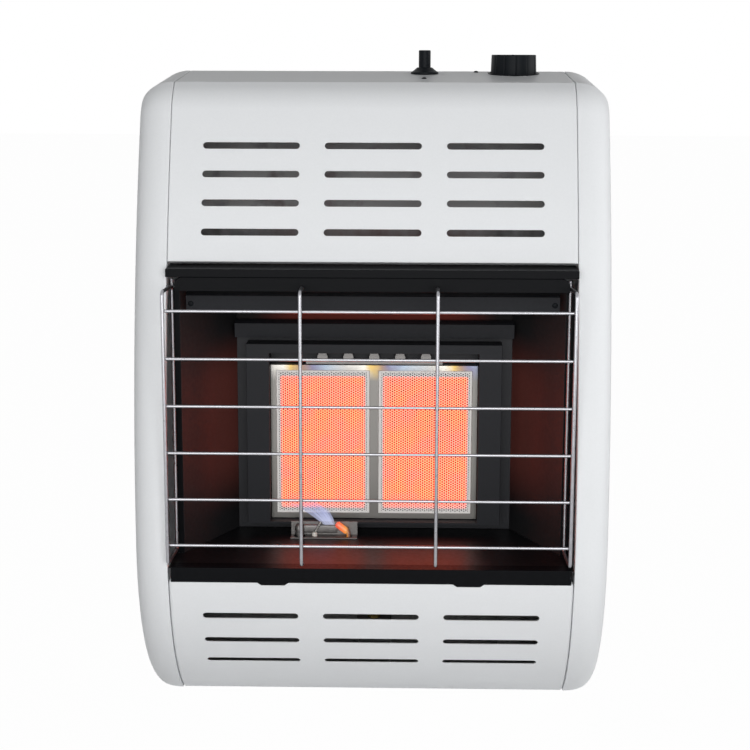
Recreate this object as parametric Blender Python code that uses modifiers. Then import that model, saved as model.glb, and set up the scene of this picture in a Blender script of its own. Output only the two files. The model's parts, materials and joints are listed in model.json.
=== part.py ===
"""A free-standing plaque gas heater for an unvented room, as an assembly of separate pieces.

Metres, +Z up, front towards -Y. The origin is the centre of the whole heater's footprint, at floor level.
Inside this file most sizes are depths behind the foremost line of the cabinet, because a heater of this
kind is drawn from its side section: every fixed piece hangs under one empty placed at that line.
"""

import math

import bmesh
import bpy
from mathutils import Matrix, Vector

# Driving sizes of the cabinet
WIDTH = 0.473
BODY_DEPTH = 0.245
BACK_HEIGHT = 0.6445
BROW_DROP = 0.0105
BULGE_HEIGHT = 0.175
UPPER_RADIUS = 1.060
LOWER_RADIUS = 0.209
BROW_RADIUS = 0.022
CASING_WIDTH = 0.0350
CASING_ROUND = 0.028
CASING_STEPS = 6
LOWER_STEPS = 9
UPPER_STEPS = 9
BROW_STEPS = 4
SHEET = 0.0012
SEAT = 0.0003
SEAM_GAP = 0.0004

# Returns folded on the sheet pieces
CASING_RETURN = 0.009
PANEL_RETURN = 0.012
LIP_ROUND = 0.0035
PANEL_EDGE_ROUND = 0.0012

# Air slots, the same punch in both front panels
SLOT_LENGTH = 0.096
SLOT_HEIGHT = 0.007
SLOT_COLUMN_PITCH = 0.1206
SLOT_COLUMNS = 3
UPPER_SLOT_ROWS = 4
UPPER_SLOT_PITCH = 0.0293
LOWER_SLOT_ROWS = 3
LOWER_SLOT_PITCH = 0.0325
LOWER_SLOT_START = 0.0405

# The opening in the front
UPPER_PANEL_FOOT = 0.4628
LEDGE_TOP = 0.1625
LEDGE_HEIGHT = 0.0157
LEDGE_TAB_X = 0.097
LEDGE_TAB_WIDTH = 0.031
LEDGE_TAB_DROP = 0.0026
LEDGE_REACH = 0.016
LEDGE_SIDE_GAP = 0.003
HOOD_LIP_DEPTH = 0.021
HOOD_LIP_TOP = 0.4566
HOOD_LIP_HEIGHT = 0.0055
HOOD_BACK_RISE = 0.0010
HOOD_REACH = 0.042
HOOD_PLATE_TOP = 0.4495
HOOD_PLATE_HEIGHT = 0.014
HOOD_PLATE_SETBACK = 0.003
HOOD_PLATE_CORNER = 0.008

# Firebox
MOUTH_DEPTH = 0.0541
MOUTH_FLANGE = 0.0095
BACK_SETBACK = 0.095
BACK_MARGIN = 0.013
FRONT_LOUVRE_TOP = 0.4265
FRONT_LOUVRE_HEIGHT = 0.0145
REAR_LOUVRE_TOP = 0.3855
REAR_LOUVRE_HEIGHT = 0.0148
LOUVRE_REACH = 0.009
LOUVRE_RISE = 0.003
LOUVRE_LEAN = 0.002
FIREBOX_SHEET = 0.0010
BAFFLE_AHEAD = 0.040
BAFFLE_LIP = 0.010
BAFFLE_LAP = 0.020
BAFFLE_SIDE_GAP = 0.0028

# Burner
BURNER_SETBACK = 0.108
BURNER_WIDTH = 0.218
BURNER_FOOT = 0.1755
BURNER_HEIGHT = 0.1665
FRAME_BORDER = 0.0060
FRAME_DIVIDER = 0.0095
FRAME_RETURN = 0.018
PLAQUE_THICKNESS = 0.0125
PLAQUE_OVERLAP = 0.0035
PLAQUE_JOINT = 0.0012
SURROUND_WIDTH = 0.266
SURROUND_TOP = 0.3655
SURROUND_PROUD = 0.012
CLAMP_TABS = 5
CLAMP_TAB_PITCH = 0.0272
CLAMP_TAB_WIDTH = 0.011
CLAMP_TAB_HEIGHT = 0.010
CLAMP_STRIP_LENGTH = 0.144
CLAMP_STRIP_HEIGHT = 0.004
PLENUM_DEPTH = 0.034

# Gas train
VENTURI_RADIUS = 0.013
VENTURI_THROAT = 0.009
VENTURI_MOUTH = 0.018
VENTURI_LENGTH = 0.100
ORIFICE_DROP = 0.015
BRIDGE_HALF_LENGTH = 0.030
BRIDGE_HALF_SPAN = 0.018
BRIDGE_HALF_WIDTH = 0.012
BURNER_TUBE_RADIUS = 0.0032
PILOT_TUBE_RADIUS = 0.0020
INLET_TUBE_RADIUS = 0.0038
ORIFICE_RADIUS = 0.0085
LEAD_RADIUS = 0.0014
WIRE_RADIUS = 0.0017
REGULATOR_RADIUS = 0.028
REGULATOR_WAIST = 0.023
REGULATOR_NECK = 0.010
REGULATOR_RIM = 0.003
REGULATOR_SHOULDER = 0.014
REGULATOR_CAP = 0.018
REGULATOR_BONNET = 0.030
REGULATOR_BODY = 0.022
REGULATOR_INSET = 0.0865
REGULATOR_SETBACK = 0.040
REGULATOR_HEIGHT = 0.075
PIPE_INSET = 0.0525
INLET_RADIUS = 0.0095
INLET_NUT_RADIUS = 0.0135
INLET_NUT_LENGTH = 0.006
INLET_BORE = 0.005
STAND_HALF_WIDTH = 0.012
STAND_THICKNESS = 0.005

# Pilot, left of the middle on the firebox floor; its holes are for the head, the electrode and the thermocouple
PILOT_X = -0.052
PILOT_AHEAD = 0.022
PILOT_PLATE_WIDTH = 0.070
PILOT_PLATE_HEIGHT = 0.0150
PILOT_PLATE_FRONT = 0.0080
PILOT_PLATE_BACK = 0.006
PILOT_STUB = 0.008
PILOT_HEAD_REACH = 0.026
ELECTRODE_REACH = 0.010

# Controls, upright on the sloping top
CONTROL_SETBACK = 0.031
KNOB_INSET = 0.0915
KNOB_RADIUS = 0.0242
KNOB_TOP_RADIUS = 0.0234
KNOB_HEIGHT = 0.0200
KNOB_FLUTES = 12
KNOB_FLUTE_WIDTH = 0.0013
KNOB_FLUTE_DEPTH = 0.0010
KNOB_FLUTE_START = 18.5
KNOB_FLOOR = -0.0030
KNOB_WALL = 0.0022
BEZEL_RADIUS = 0.0272
BEZEL_HEIGHT = 0.0010
RUNNING_GAP = 0.0006
STEM_RADIUS = 0.004
DRIVE_COLLAR_RADIUS = 0.0085
VALVE_DROP = 0.024
VALVE_HEIGHT = 0.040
VALVE_HALF_WIDTH = 0.033
VALVE_FRONT = 0.019
VALVE_BACK = 0.016
BRACKET_DECK_DROP = 0.010
BRACKET_WIDTH = 0.024
IGNITER_SPACING = 0.094
BUTTON_RADIUS = 0.0063
BUTTON_HEIGHT = 0.0245
COLLAR_RADIUS = 0.0147
COLLAR_HEIGHT = 0.0066
IGNITER_BODY_RADIUS = 0.0095
IGNITER_BODY_LENGTH = 0.046
TRIM_REACH = 0.040

# Ports under the valve: sideways and forward of its axis
BURNER_PORT_X = 0.020
PILOT_PORT_X = 0.004
PILOT_PORT_BACK = 0.010
LEAD_PORT_X = 0.010
LEAD_PORT_BACK = -0.011
INLET_PORT_X = -0.018

# Pipe routes: how far each falls before it turns aside, and the level of its run under the floor
BURNER_TUBE_FALL = 0.137
PILOT_TUBE_FALL = 0.122
LEAD_FALL = 0.107
INLET_TUBE_FALL = 0.277
WIRE_FALL = 0.2535
PIPE_JOG = 0.040
INLET_JOG = 0.060
PIPE_PITCH = 0.0075
LEAD_PITCH = 0.0125
WIRE_ASIDE = 0.041
PILOT_RUN_DROP = 0.0425
LEAD_RUN_DROP = 0.0345
WIRE_RUN_DROP = 0.0265
PIPE_BEND = 0.010
TUBE_BEND = 0.008
LEAD_BEND = 0.005

# Keyholes for the wall screws
KEYHOLE_INSET = 0.0865
KEYHOLE_DROP = 0.0845
KEYHOLE_RADIUS = 0.0055
KEYHOLE_NECK = 0.0052

# Wire guard
GUARD_PROUD = 0.0115
GUARD_INSET = 0.0042
GUARD_SHIFT = -0.0019
GUARD_TOP = 0.4400
GUARD_FOOT = 0.1705
GUARD_REAR_TOP = 0.4365
GUARD_REAR_FOOT = 0.1655
GUARD_BEND = 0.005
UPRIGHT_RADIUS = 0.0018
CROSSBAR_RADIUS = 0.0015
CROSSBARS = 6
CROSSBAR_LOWEST = 0.1881
CROSSBAR_PITCH = 0.04655
HOOK_REACH = 0.030

# Derived sizes
HALF_WIDTH = WIDTH / 2
SEAM_X = HALF_WIDTH - CASING_WIDTH
BROW_HEIGHT = BACK_HEIGHT - BROW_DROP
MOUTH_HALF_WIDTH = SEAM_X - MOUTH_FLANGE
BACK_HALF_WIDTH = SURROUND_WIDTH / 2 + BACK_MARGIN
BACK_DEPTH = BODY_DEPTH - BACK_SETBACK
BURNER_DEPTH = BODY_DEPTH - BURNER_SETBACK
PILOT_DEPTH = BURNER_DEPTH - PILOT_AHEAD
CONTROL_DEPTH = BODY_DEPTH - CONTROL_SETBACK
KNOB_X = HALF_WIDTH - KNOB_INSET
IGNITER_X = KNOB_X - IGNITER_SPACING
REGULATOR_X = HALF_WIDTH - REGULATOR_INSET
REGULATOR_DEPTH = BODY_DEPTH - REGULATOR_SETBACK
PIPE_X = HALF_WIDTH - PIPE_INSET
KEYHOLE_X = HALF_WIDTH - KEYHOLE_INSET
KEYHOLE_HEIGHT = BACK_HEIGHT - KEYHOLE_DROP
GUARD_HALF_WIDTH = SEAM_X - GUARD_INSET
PANEL_HALF_WIDTH = SEAM_X - SEAM_GAP
TOTAL_DEPTH = BODY_DEPTH + GUARD_PROUD + UPRIGHT_RADIUS
FRONT_Y = TOTAL_DEPTH / 2 - BODY_DEPTH
LEDGE_FOOT = LEDGE_TOP - LEDGE_HEIGHT
LOWER_PANEL_TOP = LEDGE_FOOT - SEAT
REAR_PANEL_DEPTH = BODY_DEPTH - 0.0065
BROW_DEPTH = UPPER_RADIUS - math.sqrt(UPPER_RADIUS**2 - (BROW_HEIGHT - BULGE_HEIGHT) ** 2)
TOP_SLOPE = math.atan2(BACK_HEIGHT - BROW_HEIGHT, BODY_DEPTH - BROW_DEPTH)
GUARD_REAR_DEPTH = MOUTH_DEPTH - SEAT - UPRIGHT_RADIUS
BASE_FRONT = LOWER_RADIUS - math.sqrt(LOWER_RADIUS**2 - BULGE_HEIGHT**2)
FLOOR_HEIGHT = LEDGE_TOP - 1.5 * SHEET - SEAT
PLENUM_FRONT = BURNER_DEPTH + FIREBOX_SHEET + SEAT + PLAQUE_THICKNESS + SEAT
VENTURI_DEPTH = PLENUM_FRONT + PLENUM_DEPTH / 2
IGNITER_BODY_FOOT = SHEET + SEAT + 0.0005 + IGNITER_BODY_LENGTH
PILOT_FLOOR_HOLES = (
    (PILOT_X - PILOT_HEAD_REACH, 0.0060),
    (PILOT_X - ELECTRODE_REACH, 0.0032),
    (PILOT_X + PILOT_HEAD_REACH, 0.0040),
)

# Finishes: colour, roughness, metallic
FINISHES = {
    "white_enamel": ((0.80, 0.81, 0.82), 0.22, 0.0),
    "black_enamel": ((0.012, 0.012, 0.014), 0.18, 0.0),
    "black_paint": ((0.020, 0.020, 0.022), 0.45, 0.0),
    "galvanised": ((0.42, 0.43, 0.44), 0.45, 0.9),
    "aluminised": ((0.55, 0.55, 0.56), 0.35, 0.9),
    "stainless": ((0.60, 0.59, 0.57), 0.30, 1.0),
    "chromed_wire": ((0.72, 0.72, 0.74), 0.12, 1.0),
    "plaque": ((0.90, 0.32, 0.20), 0.90, 0.0),
    "brass": ((0.62, 0.44, 0.16), 0.30, 1.0),
    "die_cast": ((0.40, 0.41, 0.42), 0.50, 0.8),
    "copper": ((0.60, 0.30, 0.18), 0.35, 1.0),
    "black_plastic": ((0.020, 0.022, 0.026), 0.38, 0.0),
    "wire_sleeve": ((0.45, 0.10, 0.06), 0.50, 0.0),
}


def clear_scene():
    for item in list(bpy.data.objects):
        bpy.data.objects.remove(item, do_unlink=True)


def new_collection(name, hidden):
    group = bpy.data.collections.new(name)
    bpy.context.scene.collection.children.link(group)
    group.hide_render = hidden
    return group


def finish(name):
    """A Principled material for one piece, from the list of finishes."""
    colour, roughness, metallic = FINISHES[name]
    material = bpy.data.materials.new(name)
    material.use_nodes = True
    shader = material.node_tree.nodes["Principled BSDF"]
    shader.inputs["Base Color"].default_value = (*colour, 1.0)
    shader.inputs["Roughness"].default_value = roughness
    shader.inputs["Metallic"].default_value = metallic
    material.diffuse_color = (*colour, 1.0)
    return material


def empty(name, location, tilt=0.0, parent=None):
    marker = bpy.data.objects.new(name, None)
    marker.location = location
    marker.rotation_euler = (tilt, 0.0, 0.0)
    marker.parent = parent
    HEATER.objects.link(marker)
    return marker


def add_object(name, mesh, surface, parent, location=(0, 0, 0), rotation=(0, 0, 0)):
    piece = bpy.data.objects.new(name, mesh)
    piece.location = location
    piece.rotation_euler = rotation
    piece.parent = parent
    mesh.materials.append(finish(surface))
    HEATER.objects.link(piece)
    return piece


def mesh_from(bm, name, smooth_angle=None):
    """Closes a bmesh into a mesh with its faces pointing out."""
    bmesh.ops.recalc_face_normals(bm, faces=bm.faces)
    mesh = bpy.data.meshes.new(name)
    bm.to_mesh(mesh)
    bm.free()
    if smooth_angle is not None:
        mesh.shade_smooth()
        mesh.set_sharp_from_angle(angle=math.radians(smooth_angle))
    return mesh


def solidify(piece, thickness, offset=-1.0):
    wall = piece.modifiers.new("sheet", "SOLIDIFY")
    wall.thickness = thickness
    wall.offset = offset
    wall.use_even_offset = True
    return wall


def subtract(piece, cutter):
    cutter.hide_render = True
    cutter.display_type = "WIRE"
    hole = piece.modifiers.new("cut_" + cutter.name, "BOOLEAN")
    hole.operation = "DIFFERENCE"
    hole.solver = "EXACT"
    hole.object = cutter


def add_cutter(name, bm, parent, location=(0, 0, 0), rotation=(0, 0, 0)):
    cutter = bpy.data.objects.new(name, mesh_from(bm, name))
    cutter.location = location
    cutter.rotation_euler = rotation
    cutter.parent = parent
    CUTTERS.objects.link(cutter)
    return cutter


def polygon_prism(bm, outline, height, place=None):
    """Extrudes a flat outline of (x, y) points by height along Z, in the frame of place."""
    bottom = bm.faces.new([bm.verts.new((x, y, 0.0)) for x, y in outline])
    grown = bmesh.ops.extrude_face_region(bm, geom=[bottom])["geom"]
    top = [vert for vert in grown if isinstance(vert, bmesh.types.BMVert)]
    bmesh.ops.translate(bm, verts=top, vec=(0, 0, height))
    if place is not None:
        bmesh.ops.transform(bm, matrix=place, verts=list(bottom.verts) + top)


def box_mesh(bm, low, high):
    size = [b - a for a, b in zip(low, high)]
    centre = [(a + b) / 2 for a, b in zip(low, high)]
    place = Matrix.Translation(centre) @ Matrix.Diagonal((*size, 1.0))
    return bmesh.ops.create_cube(bm, size=1.0, matrix=place)["verts"]


def cylinder_mesh(bm, radius, low, high, sides, place=None):
    """A cylinder from height low to height high on the local Z axis."""
    middle = Matrix.Translation((0, 0, (low + high) / 2))
    bmesh.ops.create_cone(
        bm,
        cap_ends=True,
        segments=sides,
        radius1=radius,
        radius2=radius,
        depth=high - low,
        matrix=(place or Matrix()) @ middle,
    )


def stadium(length, height, end_steps):
    """Points of a slot with round ends, centred on the origin, long in x."""
    radius = height / 2
    reach = length / 2 - radius
    points = []
    for side, start in ((1, -math.pi / 2), (-1, math.pi / 2)):
        for step in range(end_steps + 1):
            angle = start + math.pi * step / end_steps
            points.append((side * reach + radius * math.cos(angle), radius * math.sin(angle)))
    return points


def rounded_rectangle(width, height, radius, corner_steps, corners=(True, True, True, True)):
    """Points of a rectangle centred on the origin; corners run from top right, anticlockwise."""
    points = []
    for index, (sx, sy) in enumerate(((1, 1), (-1, 1), (-1, -1), (1, -1))):
        if not corners[index]:
            points.append((sx * width / 2, sy * height / 2))
            continue
        cx = sx * (width / 2 - radius)
        cy = sy * (height / 2 - radius)
        for step in range(corner_steps + 1):
            angle = math.pi / 2 * (index + step / corner_steps)
            points.append((cx + radius * math.cos(angle), cy + radius * math.sin(angle)))
    return points


def round_corner(before, corner, after, radius, steps):
    """The points of an arc that eases one corner of a path, in two or three dimensions."""
    before, corner, after = Vector(before), Vector(corner), Vector(after)
    arrive = (before - corner).normalized()
    leave = (after - corner).normalized()
    half = arrive.angle(leave) / 2
    reach = radius / math.tan(half)
    centre = corner + (arrive + leave).normalized() * (radius / math.sin(half))
    start = corner + arrive * reach - centre
    end = corner + leave * reach - centre
    turn = start.angle(end)
    arc = []
    for step in range(steps + 1):
        share = step / steps
        arm = (start * math.sin((1 - share) * turn) + end * math.sin(share * turn)) / math.sin(turn)
        arc.append(tuple(centre + arm))
    return arc


def rounded_path(points, radius, steps):
    """A path whose inner corners are eased to one radius."""
    path = [tuple(points[0])]
    for before, corner, after in zip(points, points[1:], points[2:]):
        path += round_corner(before, corner, after, radius, steps)
    return path + [tuple(points[-1])]


def front_depth(height):
    """How far the cabinet's front lies behind its foremost line, at a height."""
    radius = UPPER_RADIUS if height > BULGE_HEIGHT else LOWER_RADIUS
    return radius - math.sqrt(radius**2 - (height - BULGE_HEIGHT) ** 2)


def front_lean(height):
    """The angle of the front's outward normal above the horizontal, at a height."""
    radius = UPPER_RADIUS if height > BULGE_HEIGHT else LOWER_RADIUS
    return math.asin((height - BULGE_HEIGHT) / radius)


def top_height(depth):
    return BROW_HEIGHT + (depth - BROW_DEPTH) * math.tan(TOP_SLOPE)


def front_arc(low, high, steps):
    """(depth, height) points on the front between two heights, at even angles."""
    start, end = front_lean(low), front_lean(high)
    radius = UPPER_RADIUS if high > BULGE_HEIGHT else LOWER_RADIUS
    points = []
    for step in range(steps + 1):
        lean = start + (end - start) * step / steps
        points.append((radius * (1 - math.cos(lean)), BULGE_HEIGHT + radius * math.sin(lean)))
    return points


def brow_arc(steps):
    """The rounded bend between the front and the sloping top."""
    corner = (BROW_DEPTH, BROW_HEIGHT)
    lean = front_lean(BROW_HEIGHT)
    below = (BROW_DEPTH - math.sin(lean), BROW_HEIGHT - math.cos(lean))
    return round_corner(below, corner, (BODY_DEPTH, BACK_HEIGHT), BROW_RADIUS, steps)


def inward(path, distance):
    """The same path moved to its right-hand side, which is the inside of the cabinet."""
    moved = []
    for index, point in enumerate(path):
        before = Vector(path[max(index - 1, 0)])
        after = Vector(path[min(index + 1, len(path) - 1)])
        along = (after - before).normalized()
        moved.append((point[0] + along.y * distance, point[1] - along.x * distance))
    return moved


def section_prism(bm, outline, x_low, x_high):
    """Extrudes a side section of (depth, height) points across the cabinet's width."""
    face = bm.faces.new([bm.verts.new((x_low, depth, height)) for depth, height in outline])
    grown = bmesh.ops.extrude_face_region(bm, geom=[face])["geom"]
    far = [vert for vert in grown if isinstance(vert, bmesh.types.BMVert)]
    bmesh.ops.translate(bm, verts=far, vec=(x_high - x_low, 0, 0))
    bmesh.ops.recalc_face_normals(bm, faces=bm.faces)


def grid_sheet(bm, rows):
    """An open surface through rows of points, all of one length."""
    lines = [[bm.verts.new(point) for point in row] for row in rows]
    for lower, upper in zip(lines, lines[1:]):
        for a, b, c, d in zip(lower, lower[1:], upper[1:], upper):
            bm.faces.new((a, b, c, d))
    return lines


def bent_sheet(name, path, half_width, thickness, surface, offset=0.0, parent=None):
    """A sheet folded along (depth, height) points and running straight across the cabinet."""
    bm = bmesh.new()
    grid_sheet(bm, [[(-half_width, d, h), (half_width, d, h)] for d, h in path])
    piece = add_object(name, mesh_from(bm, name), surface, parent or CABINET)
    solidify(piece, thickness, offset)
    return piece


def tube(name, points, radius, surface, parent, cyclic=False, resolution=2):
    """A wire or pipe: a poly curve with a round bevel and filled caps."""
    curve = bpy.data.curves.new(name, "CURVE")
    curve.dimensions = "3D"
    curve.bevel_depth = radius
    curve.bevel_resolution = resolution
    curve.use_fill_caps = True
    add_spline(curve, points, cyclic)
    return add_object(name, curve, surface, parent)


def add_spline(curve, points, cyclic=False):
    spline = curve.splines.new("POLY")
    spline.points.add(len(points) - 1)
    for target, point in zip(spline.points, points):
        target.co = (*point, 1.0)
    spline.use_cyclic_u = cyclic


def turned(name, profile, steps, surface, parent, location=(0, 0, 0), rotation=(0, 0, 0)):
    """A turned piece: (radius, height) points, outer side first from top to bottom."""
    bm = bmesh.new()
    verts = [bm.verts.new((radius, 0.0, height)) for radius, height in profile]
    for a, b in zip(verts, verts[1:]):
        bm.edges.new((a, b))
    if profile[0][0] > 0:
        bm.edges.new((verts[-1], verts[0]))
    mesh = bpy.data.meshes.new(name)
    bm.to_mesh(mesh)
    bm.free()
    piece = add_object(name, mesh, surface, parent, location, rotation)
    screw = piece.modifiers.new("turn", "SCREW")
    screw.steps = steps
    screw.render_steps = steps
    screw.use_merge_vertices = True
    screw.merge_threshold = 0.00001
    screw.use_smooth_shade = True
    return piece


def cheek_section(inset):
    """The cabinet's side section, from its foot up the front and back along the top, moved inwards."""
    lower = LOWER_RADIUS - inset
    upper = UPPER_RADIUS - inset
    top_reach = (BROW_HEIGHT - BULGE_HEIGHT) * math.cos(TOP_SLOPE) - BROW_DEPTH * math.sin(TOP_SLOPE)
    top_reach += UPPER_RADIUS * math.sin(TOP_SLOPE) - inset
    corner_lean = math.asin(top_reach / upper) - TOP_SLOPE
    corner_depth = UPPER_RADIUS - upper * math.cos(corner_lean)
    corner_height = BULGE_HEIGHT + upper * math.sin(corner_lean)
    below = (corner_depth - math.sin(corner_lean), corner_height - math.cos(corner_lean))
    back = (BODY_DEPTH, top_height(BODY_DEPTH) - inset / math.cos(TOP_SLOPE))
    bend_radius = max(BROW_RADIUS - inset, SEAT)
    bend = round_corner(below, (corner_depth, corner_height), back, bend_radius, BROW_STEPS)
    bend_lean = math.asin((bend[0][1] - BULGE_HEIGHT) / upper)
    foot_lean = -math.asin(BULGE_HEIGHT / lower)
    points = []
    for step in range(LOWER_STEPS):
        lean = foot_lean * (1 - step / LOWER_STEPS)
        points.append((LOWER_RADIUS - lower * math.cos(lean), BULGE_HEIGHT + lower * math.sin(lean)))
    for step in range(UPPER_STEPS):
        lean = bend_lean * step / UPPER_STEPS
        points.append((UPPER_RADIUS - upper * math.cos(lean), BULGE_HEIGHT + upper * math.sin(lean)))
    return points + bend + [back]


def side_casing(name, side):
    """One rounded side of the cabinet: the side section drawn in along a quarter round, then made a shell."""
    stations = [(SEAM_X, 0.0)]
    for step in range(CASING_STEPS + 1):
        angle = math.pi / 2 * step / CASING_STEPS
        out = HALF_WIDTH - CASING_ROUND * (1 - math.sin(angle))
        stations.append((out, CASING_ROUND * (1 - math.cos(angle))))
    bm = bmesh.new()
    lines = grid_sheet(bm, [[(side * x, d, h) for d, h in cheek_section(inset)] for x, inset in stations])
    inner_foot = bm.verts.new((side * SEAM_X, BODY_DEPTH, 0.0))
    outer_foot = bm.verts.new((side * HALF_WIDTH, BODY_DEPTH, 0.0))
    inner_side = bm.faces.new(lines[0] + [inner_foot])
    bm.faces.new(lines[-1] + [outer_foot])
    bm.faces.new([line[0] for line in lines] + [outer_foot, inner_foot])
    bm.faces.new([line[-1] for line in lines] + [outer_foot, inner_foot])
    bmesh.ops.recalc_face_normals(bm, faces=bm.faces)
    bmesh.ops.inset_region(bm, faces=[inner_side], thickness=CASING_RETURN, use_even_offset=True)
    bmesh.ops.delete(bm, geom=[inner_side], context="FACES")
    piece = add_object(name, mesh_from(bm, name, 30), "white_enamel", CABINET)
    solidify(piece, SHEET)
    return piece


def front_panel(name, outer, lip_round, corner_round):
    """A front panel folded from one sheet, with returns all round, from its outer side section."""
    inner = inward(outer, PANEL_RETURN)
    if outer[-1][0] == BODY_DEPTH:
        # The return along the back edge hangs straight down, flush with the casings' backs.
        inner[-1] = (BODY_DEPTH, outer[-1][1] - PANEL_RETURN)
    bm = bmesh.new()
    section_prism(bm, outer + inner[::-1], -PANEL_HALF_WIDTH, PANEL_HALF_WIDTH)
    skin = {tuple(round(value, 6) for value in point) for point in outer}
    back = {tuple(round(value, 6) for value in point) for point in inner}

    def place(vert):
        return (round(vert.co.y, 6), round(vert.co.z, 6))

    if corner_round:
        top = (round(outer[-1][0], 6), round(outer[-1][1], 6))
        top_back = (round(inner[-1][0], 6), round(inner[-1][1], 6))
        corners = [edge for edge in bm.edges if {place(vert) for vert in edge.verts} == {top, top_back}]
        bmesh.ops.bevel(bm, geom=corners, offset=corner_round, segments=3, profile=0.5, affect="EDGES")
    hidden = [face for face in bm.faces if all(place(vert) in back for vert in face.verts)]
    bmesh.ops.delete(bm, geom=hidden, context="FACES")
    rims = []
    for edge in bm.edges:
        if len(edge.link_faces) != 2 or edge.calc_face_angle(0.0) < math.radians(60):
            continue
        if any(place(vert) in skin for vert in edge.verts):
            rims.append(edge)
        elif corner_round and all(vert.co.z > outer[-1][1] - PANEL_RETURN for vert in edge.verts):
            rims.append(edge)
    rims = [edge for edge in rims if not any(place(vert) in back for vert in edge.verts)]
    bmesh.ops.bevel(bm, geom=rims, offset=lip_round, segments=3, profile=0.5, affect="EDGES")
    piece = add_object(name, mesh_from(bm, name, 30), "white_enamel", CABINET)
    solidify(piece, SHEET)
    return piece


def slot_cutter(name, arc_lengths, start_height):
    """One cutter for a panel's air slots: rows at distances along the front's arc, each square to it."""
    radius = UPPER_RADIUS if start_height > BULGE_HEIGHT else LOWER_RADIUS
    bm = bmesh.new()
    for distance in arc_lengths:
        lean = front_lean(start_height) + distance / radius
        depth = radius * (1 - math.cos(lean))
        height = BULGE_HEIGHT + radius * math.sin(lean)
        # The punch enters along the surface normal, which leans by the angle of the arc there.
        turn = Matrix.Rotation(math.pi / 2 - lean, 4, "X")
        for column in range(SLOT_COLUMNS):
            x = (column - (SLOT_COLUMNS - 1) / 2) * SLOT_COLUMN_PITCH
            place = Matrix.Translation((x, depth, height)) @ turn @ Matrix.Translation((0, 0, -0.008))
            polygon_prism(bm, stadium(SLOT_LENGTH, SLOT_HEIGHT, 4), 0.016, place)
    return add_cutter(name, bm, CABINET)


def make_cabinet():
    side_casing("left_side_casing", -1)
    side_casing("right_side_casing", 1)

    upper_outline = front_arc(UPPER_PANEL_FOOT, BROW_HEIGHT - BROW_RADIUS, 5)
    upper_outline += brow_arc(5)
    upper_outline += [(BODY_DEPTH, BACK_HEIGHT)]
    upper = front_panel("upper_front_panel", upper_outline, PANEL_EDGE_ROUND, 0.0)
    rows = [UPPER_SLOT_PITCH * (row + 1) for row in range(UPPER_SLOT_ROWS)]
    subtract(upper, slot_cutter("upper_slots", rows, UPPER_PANEL_FOOT))
    for name, x, radius in (
        ("knob_hole", KNOB_X, KNOB_RADIUS + RUNNING_GAP + 0.0006),
        ("igniter_hole", IGNITER_X, IGNITER_BODY_RADIUS - 0.0015),
    ):
        bm = bmesh.new()
        cylinder_mesh(bm, radius, -0.006, 0.006, 24)
        location = (x, CONTROL_DEPTH, top_height(CONTROL_DEPTH))
        subtract(upper, add_cutter(name, bm, CABINET, location))

    lower_outline = front_arc(0.0, LOWER_PANEL_TOP, 8)
    lower = front_panel("lower_front_panel", lower_outline, LIP_ROUND, 0.004)
    rows = [-(LOWER_SLOT_START + LOWER_SLOT_PITCH * row) for row in range(LOWER_SLOT_ROWS)]
    subtract(lower, slot_cutter("lower_slots", rows, LOWER_PANEL_TOP))


def make_back_and_base():
    """The flat rear panel with two keyholes for wall screws, and the base pan with turned-up edges."""
    foot = SHEET + SEAT
    head = top_height(REAR_PANEL_DEPTH) - PANEL_RETURN - 2 * SEAT
    bm = bmesh.new()
    box_mesh(
        bm,
        (-PANEL_HALF_WIDTH, REAR_PANEL_DEPTH - SHEET, foot),
        (PANEL_HALF_WIDTH, REAR_PANEL_DEPTH, head),
    )
    rear = add_object("rear_panel", mesh_from(bm, "rear_panel"), "galvanised", CABINET)
    away = Matrix.Rotation(math.pi / 2, 4, "X")
    rounds = bmesh.new()
    necks = bmesh.new()
    for side in (-1, 1):
        spot = Matrix.Translation((side * KEYHOLE_X, REAR_PANEL_DEPTH + 0.005, KEYHOLE_HEIGHT)) @ away
        cylinder_mesh(rounds, KEYHOLE_RADIUS, 0.0, 0.012, 16, spot)
        neck = spot @ Matrix.Translation((0, KEYHOLE_RADIUS + 0.006, 0)) @ Matrix.Rotation(math.pi / 2, 4, "Z")
        polygon_prism(necks, stadium(0.022, KEYHOLE_NECK, 4), 0.012, neck)
    subtract(rear, add_cutter("keyhole_rounds", rounds, CABINET))
    subtract(rear, add_cutter("keyhole_necks", necks, CABINET))
    bm = bmesh.new()
    inlet = Matrix.Translation((REGULATOR_X, REAR_PANEL_DEPTH + 0.005, REGULATOR_HEIGHT)) @ away
    cylinder_mesh(bm, INLET_RADIUS + 0.001, 0.0, 0.012, 20, inlet)
    subtract(rear, add_cutter("inlet_hole", bm, CABINET))

    front = BASE_FRONT + 0.004
    back = REAR_PANEL_DEPTH - SHEET - SEAT
    edge = 0.012
    path = [
        (front + 0.010, edge + SHEET / 2),
        (front + 0.010, SHEET / 2),
        (back - SHEET / 2, SHEET / 2),
        (back - SHEET / 2, edge + SHEET / 2),
    ]
    bent_sheet("base_pan", path, PANEL_HALF_WIDTH, SHEET, "galvanised")


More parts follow.
